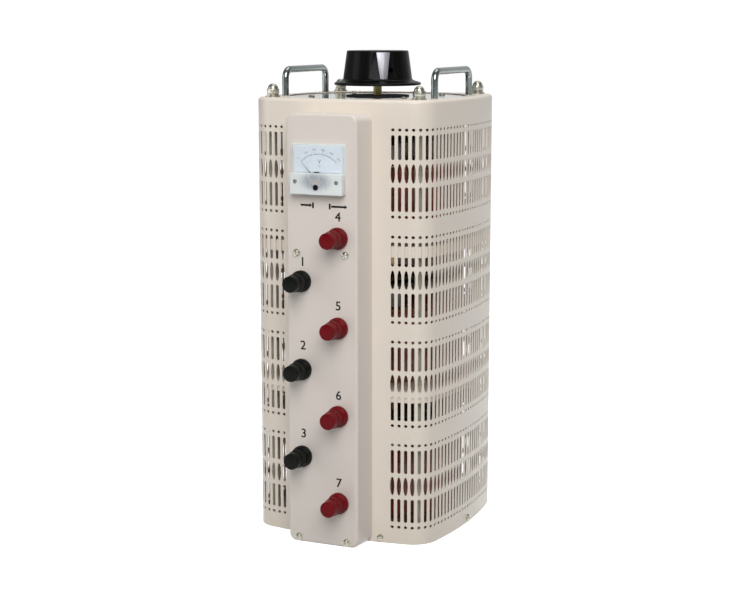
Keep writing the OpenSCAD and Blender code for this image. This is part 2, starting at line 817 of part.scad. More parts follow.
module lug(p) {
    difference() {
        union() {
            rod_y(5.5, cover_y - 10.4, cover_y - 9.2, p[0], p[1]);
            translate([p[0] - 2.5, -cover_y + 9.2, p[1] - 10]) cube([5, 1.2, 10]);
        }
        rod_y(stud_r, cover_y - 20, cover_y, p[0], p[1]);
    }
}

module wiring_leads() {
    color("firebrick")
        for (path = concat(input_leads, output_leads, [common_lead], common_links)) lead(path);
}

base_plate();
left_shell();
right_shell();
seam_strips();
top_plate();
bearing_cover();
shaft_bearings();
tie_rods();
spacer_tubes();
acorn_nuts();
nut_washers();
shelves();
coil_pads();
toroid_cores();
windings();
brush_tracks();
main_shaft();
control_knob();
knob_pointer();
knob_set_screw();
hub_bushes();
brush_arms();
heat_sinks();
carbon_brushes();
collector_rings();
stop_arm();
stop_post();
collector_fingers();
input_collars();
output_collars();
terminal_studs();
terminal_nuts();
color("black") terminal_cap(input_places[0]);  // input_cap_1
color("black") terminal_cap(input_places[1]);  // input_cap_2
color("black") terminal_cap(input_places[2]);  // input_cap_3
color("crimson") terminal_cap(output_places[0]);  // output_cap_1
color("crimson") terminal_cap(output_places[1]);  // output_cap_2
color("crimson") terminal_cap(output_places[2]);  // output_cap_3
color("crimson") terminal_cap(output_places[3]);  // output_cap_4
clamp_washer(input_places[0]);  // input_washer_1
clamp_washer(input_places[1]);  // input_washer_2
clamp_washer(input_places[2]);  // input_washer_3
clamp_washer(output_places[0]);  // output_washer_1
clamp_washer(output_places[1]);  // output_washer_2
clamp_washer(output_places[2]);  // output_washer_3
clamp_washer(output_places[3]);  // output_washer_4
meter_case();
meter_window();
meter_dial();
meter_movement();
meter_needle();
meter_zero_screw();
meter_screws();
carry_handles();
handle_nuts();
terminal_cover();
cover_posts();
cover_screws();
case_screws();
wiring_leads();
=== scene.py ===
"""Looks for a three-phase variable autotransformer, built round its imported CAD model.

Shapes are modelled in millimetres in the CAD model's own frame and scaled to metres at the end.
"""

import bmesh
import bpy
import json
import math
from mathutils import Matrix, Vector


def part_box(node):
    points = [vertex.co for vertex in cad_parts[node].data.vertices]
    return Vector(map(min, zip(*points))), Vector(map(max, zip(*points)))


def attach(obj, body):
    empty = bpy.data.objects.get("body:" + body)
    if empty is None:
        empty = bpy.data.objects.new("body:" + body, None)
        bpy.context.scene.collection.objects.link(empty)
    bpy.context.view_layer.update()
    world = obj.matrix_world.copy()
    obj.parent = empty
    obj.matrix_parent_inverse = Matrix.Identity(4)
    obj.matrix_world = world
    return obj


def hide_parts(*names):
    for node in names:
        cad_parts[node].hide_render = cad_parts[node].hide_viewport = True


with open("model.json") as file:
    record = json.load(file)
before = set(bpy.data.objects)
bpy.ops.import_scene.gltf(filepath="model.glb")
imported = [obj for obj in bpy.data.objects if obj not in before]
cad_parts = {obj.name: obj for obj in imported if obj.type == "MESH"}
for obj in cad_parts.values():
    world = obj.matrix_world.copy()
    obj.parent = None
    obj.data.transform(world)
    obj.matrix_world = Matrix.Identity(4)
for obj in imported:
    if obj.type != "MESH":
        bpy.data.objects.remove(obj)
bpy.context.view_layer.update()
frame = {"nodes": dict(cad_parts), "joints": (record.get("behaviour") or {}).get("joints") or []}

bl_info = {
    "name": "Variable Autotransformer",
    "version": (1, 0, 0),
    "blender": (4, 5, 0),
    "location": "View3D > Sidebar > Variac",
    "description": "Builds the visible pieces and finishes of a bench autotransformer",
    "category": "Object",
}

MM = 0.001
# Turns a shape's Z axis to the front
FRONT = Matrix.Rotation(math.radians(90), 4, "X")
# Thickness of a printed mark
INK = 0.06


# Places taken from the CAD model, in millimetres

def corners(node):
    low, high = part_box(node)
    return low / MM, high / MM


def middle(node):
    low, high = corners(node)
    return (low + high) / 2


# Shader maths

class Wire:
    """One output of a shader node, with sums written as Python operators."""

    def __init__(self, paint, socket):
        self.paint, self.socket = paint, socket

    def maths(self, operation, *values):
        return self.paint.add("Math", {"operation": operation}, *values)

    def __add__(self, other):
        return self.maths("ADD", self, other)

    __radd__ = __add__

    def __sub__(self, other):
        return self.maths("SUBTRACT", self, other)

    def __rsub__(self, other):
        return self.maths("SUBTRACT", other, self)

    def __mul__(self, other):
        return self.maths("MULTIPLY", self, other)

    __rmul__ = __mul__

    def __truediv__(self, other):
        return self.maths("DIVIDE", self, other)

    def __pow__(self, other):
        return self.maths("POWER", self, other)

    def below(self, edge, soft):
        """1 where the value is under the edge, falling to 0 over a soft width."""
        return self.paint.add(
            "MapRange", {"interpolation_type": "SMOOTHSTEP"}, self, edge - soft, edge + soft, 1.0, 0.0
        )


class Paint:
    """A Principled material and the nodes that vary it over a surface."""

    def __init__(self, name, color, roughness, **fixed):
        self.material = bpy.data.materials.new(f"{name}_finish")
        self.material.use_nodes = True
        self.nodes = self.material.node_tree.nodes
        self.links = self.material.node_tree.links
        self.shader = self.nodes["Principled BSDF"]
        self.set("Base Color", (*color, 1))
        self.set("Roughness", roughness)
        for socket, value in fixed.items():
            self.set(socket.replace("_", " "), value)
        self.at = self.add("TexCoord", output="Object")

    def add(self, kind, settings=None, *values, output=0, **named):
        """Adds a node, sets it up, fills its sockets and returns one of its outputs."""
        node = self.nodes.new("ShaderNode" + kind)
        for key, value in (settings or {}).items():
            setattr(node, key, value)
        for place, value in [*enumerate(values), *named.items()]:
            self.fill(node.inputs[place], value)
        return Wire(self, node.outputs[output])

    def fill(self, socket, value):
        if isinstance(value, Wire):
            self.links.new(value.socket, socket)
        else:
            socket.default_value = value

    def set(self, socket, value):
        self.fill(self.shader.inputs[socket], value)

    def stretched(self, x, y, z):
        """Object coordinates scaled along each axis, for brushing and streaks."""
        return self.add("VectorMath", {"operation": "MULTIPLY"}, self.at, (x, y, z))

    def noise(self, scale, detail=2.0, at=None):
        return self.add("TexNoise", None, Vector=at or self.at, Scale=scale, Detail=detail)

    def blend(self, share, first, second):
        """A colour between two colours."""
        mixed = self.add("Mix", {"data_type": "RGBA"}, share, output=2)
        for place, color in ((6, first), (7, second)):
            self.fill(mixed.socket.node.inputs[place], color if isinstance(color, Wire) else (*color, 1))
        return mixed

    def bump(self, height, depth, strength):
        """Raises the surface by up to a depth in millimetres where the pattern is high."""
        raised = self.add("Bump", None, Strength=strength, Distance=depth * MM, Height=height)
        self.set("Normal", raised)


# Finishes

def enamel(name, color, deeper):
    """Satin stove enamel: a faint drift of tone, fine orange peel and a colour that darkens towards the foot.
    """
    paint = Paint(name, color, 0.34, Coat_Weight=0.15, Coat_Roughness=0.2)
    drift = paint.noise(7, 3)
    height = paint.add("SeparateXYZ", None, paint.at, output=2)
    # colour darkens towards the foot, fading out 50 mm above the piece's origin
    darker_foot = height.below(0.02, 0.03) * 0.5
    share = paint.add("Clamp", None, drift * 0.7 + darker_foot - 0.1)
    paint.set("Base Color", paint.blend(share, color, deeper))
    paint.set("Roughness", paint.noise(40, 3) * 0.12 + 0.28)
    paint.bump(paint.noise(650, 2), 0.05, 0.35)
    return paint.material


def plated(name, color, darker, roughness, stain=45):
    """Plated steel with patchy passivation and fine handling marks."""
    paint = Paint(name, color, roughness, Metallic=1.0)
    patches = paint.noise(stain, 4)
    paint.set("Base Color", paint.blend(patches ** 1.5, color, darker))
    paint.set("Roughness", paint.noise(stain * 3, 2) * 0.2 + (roughness - 0.1))
    paint.bump(paint.noise(900, 2), 0.02, 0.5)
    return paint.material


def brushed(name, color, darker, roughness, across, along, fine=900):
    """Metal with drawn or turned lines: long along one axis and fine across the others."""
    paint = Paint(name, color, roughness, Metallic=1.0)
    scale = {axis: fine for axis in "xyz"}
    scale[along] = fine * 0.02
    lines = paint.noise(1, 3, paint.stretched(*scale.values()))
    paint.set("Base Color", paint.blend(lines, color, darker))
    paint.set("Roughness", lines * across + (roughness - across / 2))
    paint.bump(lines, 0.02, 0.4)
    return paint.material


def moulding(name, color, worn, roughness, grain=500, coat=0.2, specular=0.22):
    """Moulded plastic with a slight grain, flow marks and rubbed patches."""
    paint = Paint(
        name, color, roughness, Specular_IOR_Level=specular, Coat_Weight=coat, Coat_Roughness=0.08)
    rubbed = paint.noise(60, 4)
    paint.set("Base Color", paint.blend(rubbed ** 2.0, color, worn))
    paint.set("Roughness", rubbed * 0.2 + (roughness - 0.1))
    paint.bump(paint.noise(grain, 2), 0.03, 0.5)
    return paint.material


def knob_moulding():
    """Glossy black moulding with faint upright draw marks."""
    paint = Paint(
        "knob_moulding", (0.006, 0.007, 0.007), 0.16, Specular_IOR_Level=0.08, Coat_Weight=0.02,
        Coat_Roughness=0.05)
    marks = paint.noise(1, 3, paint.stretched(260, 260, 18))
    paint.set("Base Color", paint.blend(marks ** 3.0, (0.002, 0.0025, 0.002), (0.009, 0.01, 0.009)))
    paint.set("Roughness", marks * 0.22 + 0.2)
    paint.bump(marks, 0.06, 0.5)
    return paint.material


def wire_enamel():
    """Varnished magnet wire, mottled where the varnish is thicker."""
    paint = Paint("wire_enamel", (0.20, 0.035, 0.022), 0.28, Coat_Weight=0.5, Coat_Roughness=0.12)
    mottle = paint.noise(120, 4)
    paint.set("Base Color", paint.blend(mottle, (0.10, 0.012, 0.010), (0.34, 0.075, 0.045)))
    paint.set("Roughness", mottle * 0.25 + 0.18)
    return paint.material


def laminate():
    """Resin-bonded board with a long fibre."""
    paint = Paint("laminate", (0.22, 0.10, 0.04), 0.45)
    fibre = paint.noise(1, 4, paint.stretched(60, 400, 400))
    paint.set("Base Color", paint.blend(fibre, (0.15, 0.06, 0.025), (0.33, 0.17, 0.075)))
    paint.set("Roughness", fibre * 0.2 + 0.35)
    paint.bump(fibre, 0.05, 0.5)
    return paint.material


def dial_card():
    """Matt printed card behind the meter's window."""
    paint = Paint("dial_card", (0.80, 0.86, 0.93), 0.5)
    tone = paint.noise(30, 2)
    paint.set("Base Color", paint.blend(tone, (0.76, 0.84, 0.93), (0.84, 0.89, 0.95)))
    paint.set("Roughness", tone * 0.1 + 0.45)
    return paint.material


def clear_plastic():
    """Clear moulding, thin enough to show the dial at full brightness."""
    paint = Paint("clear_plastic", (0.80, 0.88, 0.92), 0.05, Alpha=0.16, Coat_Weight=0.4)
    haze = paint.noise(90, 2)
    paint.set("Alpha", haze * 0.08 + 0.10)
    paint.set("Roughness", haze * 0.06 + 0.03)
    return paint.material


def frosted_moulding():
    """Milky meter housing with a darker fan below the dial: the coil's colour seen through it together with
    painted shade from inside the housing.
    """
    pivot = middle("meter_zero_screw")
    paint = Paint("frosted_moulding", (0.74, 0.77, 0.76), 0.14, Coat_Weight=0.5, Coat_Roughness=0.06)
    across = paint.add("SeparateXYZ", None, paint.at, output=0) / MM - pivot.x
    above = paint.add("SeparateXYZ", None, paint.at, output=2) / MM - (pivot.z + 6)
    spread = (across * across * 0.45 + above * above * 1.6) ** 0.5
    # painted shade: a darker fan round the pivot standing in for the coil and the dim inside of the housing
    # behind the milky front
    coil_shade_fan = spread.below(11.5, 5.5)
    heart = (across * across + above * above) ** 0.5
    ribs = paint.noise(1, 3, paint.stretched(700, 40, 160))
    shade = coil_shade_fan * (ribs * 0.9 + 0.25)
    seen = paint.blend(shade, (0.75, 0.79, 0.78), (0.25, 0.28, 0.33))
    seen = paint.blend(heart.below(3.5, 2.0) * 0.6, seen, (0.55, 0.45, 0.38))
    paint.set("Base Color", seen)
    paint.set("Roughness", paint.noise(200, 2) * 0.1 + 0.1)
    paint.bump(paint.noise(300, 2), 0.02, 0.3)
    return paint.material


def printed(name, color):
    """Screen-printed ink with thin spots."""
    paint = Paint(name, color, 0.5, Specular_IOR_Level=0.15)
    thin = paint.noise(900, 3)
    lighter = tuple(value * 0.7 + 0.015 for value in color)
    paint.set("Base Color", paint.blend(thin ** 2.0, color, lighter))
    paint.set("Roughness", thin * 0.2 + 0.4)
    return paint.material


def floor_finish():
    paint = Paint(
        "studio_floor", (0.93, 0.93, 0.925), 0.6, Emission_Color=(1, 1, 1, 1), Emission_Strength=0.75)
    tone = paint.noise(2, 2)
    paint.set("Base Color", paint.blend(tone, (0.92, 0.92, 0.915), (0.94, 0.94, 0.935)))
    return paint.material


FINISHES = {
    "case_enamel": lambda: enamel("case_enamel", (0.775, 0.70, 0.61), (0.72, 0.64, 0.54)),
    # painted shade: the case sheet's inner side is coloured near black so the inside of the case reads as
    # shaded through the slots
    "inside_painted_shade": lambda: enamel("inside_painted_shade", (0.10, 0.09, 0.075), (0.05, 0.045, 0.035)),
    "cover_enamel": lambda: enamel("cover_enamel", (0.72, 0.655, 0.60), (0.67, 0.605, 0.55)),
    "polished_plate": lambda: brushed(
        "polished_plate", (0.86, 0.87, 0.87), (0.72, 0.73, 0.73), 0.12, 0.08, "x", 400),
    "tray_zinc": lambda: plated("tray_zinc", (0.46, 0.46, 0.43), (0.34, 0.34, 0.31), 0.42),
    "fastener_zinc": lambda: plated("fastener_zinc", (0.52, 0.51, 0.44), (0.26, 0.25, 0.19), 0.28, 160),
    "chrome": lambda: plated("chrome", (0.32, 0.36, 0.35), (0.16, 0.18, 0.18), 0.16, 35),
    "knob_moulding": knob_moulding,
    "black_moulding": lambda: moulding(
        "black_moulding", (0.002, 0.003, 0.002), (0.008, 0.010, 0.008), 0.34, 500, 0.03, 0.08),
    "matt_black": lambda: moulding("matt_black", (0.005, 0.005, 0.005), (0.02, 0.02, 0.02), 0.7, 300, 0.0),
    "red_moulding": lambda: moulding(
        "red_moulding", (0.13, 0.001, 0.004), (0.20, 0.004, 0.008), 0.34, 500, 0.04, 0.10),
    "pointer_aluminium": lambda: brushed(
        "pointer_aluminium", (0.38, 0.38, 0.40), (0.24, 0.24, 0.27), 0.46, 0.2, "z", 500),
    "bronze": lambda: brushed("bronze", (0.62, 0.40, 0.20), (0.45, 0.28, 0.13), 0.32, 0.12, "z"),
    "bare_copper": lambda: brushed("bare_copper", (0.85, 0.46, 0.30), (0.60, 0.28, 0.17), 0.25, 0.1, "z"),
    "shaft_brass": lambda: plated("shaft_brass", (0.42, 0.37, 0.16), (0.22, 0.19, 0.08), 0.34, 90),
    "cast_aluminium": lambda: plated("cast_aluminium", (0.22, 0.22, 0.225), (0.13, 0.13, 0.135), 0.5, 60),
    "black_anodised": lambda: plated("black_anodised", (0.05, 0.05, 0.05), (0.02, 0.02, 0.02), 0.5, 60),
    "core_steel": lambda: brushed("core_steel", (0.30, 0.30, 0.31), (0.18, 0.18, 0.19), 0.4, 0.1, "z"),
    "tube_paint": lambda: moulding("tube_paint", (0.60, 0.57, 0.46), (0.48, 0.46, 0.37), 0.4, 300, 0.1),
    "wire_enamel": wire_enamel,
    "laminate": laminate,
    "carbon": lambda: moulding("carbon", (0.02, 0.02, 0.022), (0.06, 0.06, 0.065), 0.6, 900, 0.0),
    "lead_sleeve": lambda: moulding("lead_sleeve", (0.40, 0.02, 0.03), (0.5, 0.06, 0.06), 0.45, 700, 0.0),
    "dial_card": dial_card,
    "clear_plastic": clear_plastic,
    "frosted_moulding": frosted_moulding,
    "black_ink": lambda: printed("black_ink", (0.004, 0.004, 0.004)),
    "grey_ink": lambda: printed("grey_ink", (0.16, 0.18, 0.22)),
    "needle_paint": lambda: moulding("needle_paint", (0.03, 0.03, 0.035), (0.08, 0.08, 0.09), 0.4, 900, 0.0),
    "studio_floor": floor_finish,
}


def finish_of(name):
    """The material of that name, made the first time it is asked for."""
    return bpy.data.materials.get(f"{name}_finish") or FINISHES[name]()


# Mesh tools

def mesh_of(name, bm):
    """A mesh that takes over a shape, which is then freed."""
    mesh = bpy.data.meshes.new(name)
    bm.to_mesh(mesh)
    bm.free()
    return mesh


def linked(name, data):
    """A new object in the scene."""
    made = bpy.data.objects.new(name, data)
    bpy.context.scene.collection.objects.link(made)
    return made


def about_z(degrees):
    return Matrix.Rotation(math.radians(degrees), 4, "Z")


def edges_between(bm, test):
    return [edge for edge in bm.edges if all(test(vert.co) for vert in edge.verts)]


def shade(bm, degrees=32):
    """Smooth faces with sharp edges wherever the surface turns by more than the limit."""
    limit = math.radians(degrees)
    for face in bm.faces:
        face.smooth = True
    for edge in bm.edges:
        edge.smooth = len(edge.link_faces) == 2 and edge.calc_face_angle(0) < limit


def soften(bm, edges, radius, segments=2):
    bmesh.ops.bevel(
        bm, geom=edges, offset=radius, offset_type="OFFSET", segments=segments,
        profile=0.5, affect="EDGES", material=-1, clamp_overlap=True,
    )


def outline(bm, points, closed=False):
    """A chain of edges through points (x, z) in the XZ plane."""
    verts = [bm.verts.new((x, 0, z)) for x, z in points]
    pairs = list(zip(verts, verts[1:])) + ([(verts[-1], verts[0])] if closed else [])
    return [bm.edges.new(pair) for pair in pairs]


def turned(points, rounding=0.0, steps=64):
    """A solid of revolution about Z from a profile of (radius, height) points."""
    bm = bmesh.new()
    outline(bm, points)
    if rounding:
        bm.verts.ensure_lookup_table()
        inner = [vert for vert in bm.verts if len(vert.link_edges) == 2]
        bmesh.ops.bevel(
            bm, geom=inner, offset=rounding, offset_type="OFFSET", segments=2,
            profile=0.5, affect="VERTICES", material=-1, clamp_overlap=True,
        )
    bmesh.ops.spin(
        bm, geom=bm.verts[:] + bm.edges[:], cent=(0, 0, 0), axis=(0, 0, 1),
        angle=math.tau, steps=steps, use_merge=True, use_duplicate=False,
    )
    bmesh.ops.remove_doubles(bm, verts=bm.verts, dist=0.001)
    bmesh.ops.recalc_face_normals(bm, faces=bm.faces)
    return bm


def annulus(inner, outer, low, high, steps=48):
    """A ring of square section about Z."""
    return turned([(inner, low), (outer, low), (outer, high), (inner, high), (inner, low)], 0, steps)


def block(low, high, radius=0.0, segments=2):
    """A box between two corners with softened edges."""
    low, high = Vector(low), Vector(high)
    bm = bmesh.new()
    bmesh.ops.create_cube(bm, size=1)
    bmesh.ops.scale(bm, vec=high - low, verts=bm.verts)
    bmesh.ops.translate(bm, vec=(low + high) / 2, verts=bm.verts)
    if radius:
        soften(bm, bm.edges[:], radius, segments)
    return bm


def prism(points, depth):
    """A plate cut to an outline (x, z), its face at y = 0 and its back at y = depth."""
    bm = bmesh.new()
    edges = outline(bm, points, closed=True)
    face = bmesh.ops.contextual_create(bm, geom=edges)["faces"][0]
    pushed = bmesh.ops.extrude_face_region(bm, geom=[face])["geom"]
    back = [item for item in pushed if isinstance(item, bmesh.types.BMVert)]
    bmesh.ops.translate(bm, vec=(0, depth, 0), verts=back)
    bmesh.ops.recalc_face_normals(bm, faces=bm.faces)
    return bm


def tube(radius, low, high, segments=24):
    """A closed round bar along Z."""
    bm = bmesh.new()
    bmesh.ops.create_cone(
        bm, cap_ends=True, segments=segments, radius1=radius, radius2=radius, depth=high - low)
    bmesh.ops.translate(bm, vec=(0, 0, (low + high) / 2), verts=bm.verts)
    return bm


def placed(bm, place):
    """Moves a whole shape by a matrix, or to a point."""
    matrix = place if isinstance(place, Matrix) else Matrix.Translation(place)
    bmesh.ops.transform(bm, matrix=matrix, verts=bm.verts)
    return bm


def facing(point):
    """A matrix that turns a shape's Z axis to the front, with its origin at a point."""
    return Matrix.Translation(point) @ FRONT


def joined(shapes):
    """One bmesh that holds several shapes."""
    whole = bmesh.new()
    for shape in shapes:
        mesh = mesh_of("part", shape)
        whole.from_mesh(mesh)
        bpy.data.meshes.remove(mesh)
    return whole


def copies(bm, matrices):
    """One bmesh that holds the shape once at each matrix."""
    mesh = mesh_of("part", bm)
    whole = bmesh.new()
    for matrix in matrices:
        start = len(whole.verts)
        whole.from_mesh(mesh)
        whole.verts.ensure_lookup_table()
        bmesh.ops.transform(whole, matrix=matrix, verts=whole.verts[start:])
    bpy.data.meshes.remove(mesh)
    return whole


def worked(bm, kind, **settings):
    """A shape after one modifier of that kind."""
    mesh = mesh_of("work", bm)
    work = linked("work", mesh)
    modifier = work.modifiers.new("work", kind)
    for name, value in settings.items():
        setattr(modifier, name, value)
    result = bmesh.new()
    result.from_object(work, bpy.context.evaluated_depsgraph_get())
    bpy.data.objects.remove(work)
    bpy.data.meshes.remove(mesh)
    return result


def cut(bm, cutters):
    """Takes the cutters, which may overlap, out of the shape with an exact boolean."""
    mesh = mesh_of("tool", joined(cutters))
    tool = linked("tool", mesh)
    result = worked(bm, "BOOLEAN", operation="DIFFERENCE", solver="EXACT", object=tool, use_self=True)
    bpy.data.objects.remove(tool)
    bpy.data.meshes.remove(mesh)
    return result


def thickened(bm, thickness, inside=0):
    """Gives a sheet its thickness, inwards. Its inner side takes the material of that number."""
    return worked(
        bm, "SOLIDIFY", thickness=thickness, offset=-1, use_even_offset=True, material_offset=inside)


def bevelled(bm, width, degrees):
    """Softens every edge that turns by more than an angle."""
    bmesh.ops.remove_doubles(bm, verts=bm.verts, dist=0.01)
    return worked(
        bm, "BEVEL", width=width, segments=2, limit_method="ANGLE", angle_limit=math.radians(degrees),
        use_clamp_overlap=True)


def piece(name, bm, finish, body, replaced=(), degrees=32):
    """Turns a shape in millimetres into a finished piece that rides on a body."""
    bmesh.ops.scale(bm, vec=(MM, MM, MM), verts=bm.verts)
    shade(bm, degrees)
    made = linked(name, mesh_of(name, bm))
    made.data.materials.append(finish_of(finish))
    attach(made, body)
    if replaced:
        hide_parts(*replaced)
    return made


# Case

class Outline:
    """The case seen from above, walked by length from the middle of the front round to the back."""

    def __init__(self, half_width, bulge, corner):
        self.back = bulge - half_width
        gap = bulge - corner
        self.out = (math.sqrt(2 * gap ** 2 - self.back ** 2) - self.back) / 2
        self.turn = math.atan2(self.out, self.out + self.back)
        self.bulge, self.corner = bulge, corner
        self.side_length = bulge * self.turn
        self.corner_length = corner * (math.pi / 2 - 2 * self.turn)
        self.half_length = 4 * self.side_length + 2 * self.corner_length

    def arc_at(self, length):
        """The arc that the length falls on: its centre, radius, first angle and first length."""
        side, corner, turn, quarter = self.side_length, self.corner_length, self.turn, math.pi / 2
        arcs = (
            ((0, self.back), self.bulge, 0, 0),
            ((self.out, -self.out), self.corner, turn, side),
            ((-self.back, 0), self.bulge, quarter - turn, side + corner),
            ((self.out, self.out), self.corner, quarter + turn, 3 * side + corner),
            ((0, -self.back), self.bulge, 2 * quarter - turn, 3 * side + 2 * corner),
        )
        return [arc for arc in arcs if arc[3] <= max(length, 0)][-1]

    def point(self, length, inset):
        centre, radius, angle, start = self.arc_at(length)
        angle += (length - start) / radius
        reach = radius - inset
        return centre[0] + math.sin(angle) * reach, centre[1] - math.cos(angle) * reach

    def front_at(self, x):
        """How far the front face stands from the middle, at a sideways place."""
        return math.sqrt(self.bulge ** 2 - x ** 2) - self.back


def case_outline(settings):
    return Outline(-corners("left_shell")[0].x, settings.bulge / MM, settings.corner / MM)


class VARIAC_PG_case(bpy.types.PropertyGroup):
    bulge: bpy.props.FloatProperty(
        name="Bulge radius", description="Radius of each side's outward bulge", default=0.526, unit="LENGTH")
    corner: bpy.props.FloatProperty(
        name="Corner radius", description="Radius of the upright corners", default=0.0295, unit="LENGTH")
    rolled: bpy.props.FloatProperty(
        name="Rolled edge", description="Radius of the rolled top edge", default=0.004, unit="LENGTH")
    sheet: bpy.props.FloatProperty(
        name="Sheet", description="Thickness of the case sheet", default=0.0008, unit="LENGTH")
    opening: bpy.props.FloatProperty(
        name="Top opening", description="Radius of the round opening in the top", default=0.104,
        unit="LENGTH")
    columns: bpy.props.IntProperty(
        name="Columns", description="Columns of ventilation holes in each half", default=37, min=3)
    first: bpy.props.FloatProperty(
        name="First column", description="Sideways place of the first column", default=0.069, unit="LENGTH")
    slot: bpy.props.FloatProperty(
        name="Slot width", description="Width of a ventilation slot", default=0.0041, unit="LENGTH")


# Half gaps between the two halves of the case at the front and the rear
FRONT_SEAM = 0.02
REAR_SEAM = 0.3
# Openings in the front that the cover hides: reach from the seam, foot and head
HIDDEN_OPENINGS = ((14, 45, 320), (30, 385, 465))
# Groups of ventilation holes up the case, and the foot of the lowest
GROUPS = 4
GROUP_PITCH = 119
GROUP_LOW = 15.5
# One group of openings: cell height, then the opening's width share, ends above the cell's foot, and kind
GROUP_ROWS = (
    (8.2, 1.0, 2.75, 6.25, "slot"),
    (31.6, 1.0, 2.0, 29.6, "slot"),
    (25.9, 1.28, 2.0, 23.9, "leaf"),
    (31.6, 1.0, 2.0, 29.6, "slot"),
    (8.2, 1.0, 1.95, 5.45, "slot"),
)


def opening_edges(bm, width, low, high, kind):
    """A slot with round ends, or a leaf that is widest half way up, in the XZ plane."""
    ring = bmesh.ops.create_circle(bm, cap_ends=False, segments=12, radius=width / 2)["verts"]
    upright = Matrix.Rotation(math.radians(90), 3, "X")
    if kind == "leaf":
        bmesh.ops.scale(bm, vec=(1, (high - low) / width, 1), verts=ring)
        bmesh.ops.rotate(bm, verts=ring, matrix=upright, cent=(0, 0, 0))
        bmesh.ops.translate(bm, vec=(0, 0, (low + high) / 2), verts=ring)
    else:
        bmesh.ops.rotate(bm, verts=ring, matrix=Matrix.Rotation(math.radians(15), 3, "Z"), cent=(0, 0, 0))
        bmesh.ops.rotate(bm, verts=ring, matrix=upright, cent=(0, 0, 0))
        for vert in ring:
            vert.co.z += high - width / 2 if vert.co.z > 0 else low + width / 2
    return list({edge for vert in ring for edge in vert.link_edges})


def blank_row(bm, places, low, high):
    edges = outline(bm, [(x, low) for x in places])
    made = bmesh.ops.extrude_edge_only(bm, edges=edges)["geom"]
    lifted = [item for item in made if isinstance(item, bmesh.types.BMVert)]
    bmesh.ops.translate(bm, vec=(0, 0, high - low), verts=lifted)


def pierced_row(bm, places, low, high, hole):
    rim = outline(bm, [(x, low) for x in places] + [(x, high) for x in reversed(places)], closed=True)
    bmesh.ops.triangle_fill(
        bm, edges=rim + opening_edges(bm, *hole), use_beauty=True, use_dissolve=False, normal=(0, -1, 0))


def hole_column(pitch, slot, top):
    """One column of the flat sheet, with every group of openings, centred on x = 0."""
    bm = bmesh.new()
    places = [-pitch / 2, -slot / 2, 0, slot / 2, pitch / 2]
    blank_row(bm, places, 0, GROUP_LOW)
    for group in range(GROUPS):
        low = GROUP_LOW + group * GROUP_PITCH
        for height, share, foot, head, kind in GROUP_ROWS:
            pierced_row(bm, places, low, low + height, (slot * share, low + foot, low + head, kind))
            low += height
        blank_row(bm, places, low, top if group == GROUPS - 1 else GROUP_LOW + (group + 1) * GROUP_PITCH)
    bmesh.ops.remove_doubles(bm, verts=bm.verts, dist=0.01)
    return bm


def rim_edges(bm, axis, value):
    """Open edges of the sheet whose ends both lie at a coordinate."""
    return [
        edge for edge in bm.edges
        if edge.is_boundary and all(abs(vert.co[axis] - value) < 0.02 for vert in edge.verts)
    ]


def extended(bm, edges, move):
    """Extrudes edges and places each new corner where move(corner) says. Returns the new edges."""
    made = bmesh.ops.extrude_edge_only(bm, edges=edges)["geom"]
    for vert in made:
        if isinstance(vert, bmesh.types.BMVert):
            vert.co = move(vert.co)
    return [item for item in made if isinstance(item, bmesh.types.BMEdge)]


def is_hidden(face):
    """Whether a face of the flat sheet falls in an opening that the cover hides."""
    spot = face.calc_center_median()
    return any(spot.x < reach and low < spot.z < high for reach, low, high in HIDDEN_OPENINGS)


def case_half(settings, side):
    """One half of the case: a pierced sheet bent round the outline, with a rolled top and a flange."""
    walk = case_outline(settings)
    top = corners("left_shell")[1].z
    rolled = settings.rolled / MM
    first = walk.bulge * math.asin(settings.first / MM / walk.bulge)
    pitch = (walk.half_length - 2 * first) / (settings.columns - 1)
    column = hole_column(pitch, settings.slot / MM, top - rolled)
    bm = copies(column, [Matrix.Translation((first + i * pitch, 0, 0)) for i in range(settings.columns)])
    bmesh.ops.remove_doubles(bm, verts=bm.verts, dist=0.01)
    near, far = first - pitch / 2, walk.half_length - first + pitch / 2
    edges = rim_edges(bm, 0, near)
    for place in (45, 30, 14, FRONT_SEAM):
        edges = extended(bm, edges, lambda co: Vector((place, co.y, co.z)))
    edges = rim_edges(bm, 0, far)
    for share in (0.25, 0.5, 0.75, 1):
        place = far + (walk.half_length - REAR_SEAM - far) * share
        edges = extended(bm, edges, lambda co: Vector((place, co.y, co.z)))
    bmesh.ops.delete(bm, geom=[face for face in bm.faces if is_hidden(face)], context="FACES")
    edges = rim_edges(bm, 2, top - rolled)
    for step in range(1, 7):
        angle = math.radians(15 * step)
        inset, height = rolled * (1 - math.cos(angle)), top - rolled + rolled * math.sin(angle)
        edges = extended(bm, edges, lambda co: Vector((co.x, inset, height)))
    for vert in bm.verts:
        vert.co.x, vert.co.y = walk.point(vert.co.x, vert.co.y)
    opening = settings.opening / MM
    edges = extended(bm, edges, lambda co: Vector((*(co.xy.normalized() * opening), co.z)))
    extended(bm, edges, lambda co: co - Vector((0, 0, 0.45)))
    if side < 0:
        bmesh.ops.scale(bm, vec=(-1, 1, 1), verts=bm.verts)
    bmesh.ops.recalc_face_normals(bm, faces=bm.faces)
    widest = max(bm.faces, key=lambda face: abs(face.calc_center_median().x))
    if widest.normal.x * side < 0:
        bmesh.ops.reverse_faces(bm, faces=bm.faces)
    # material 1 on the sheet's inner side is the near-black painted shade
    return thickened(bm, settings.sheet / MM, 1)


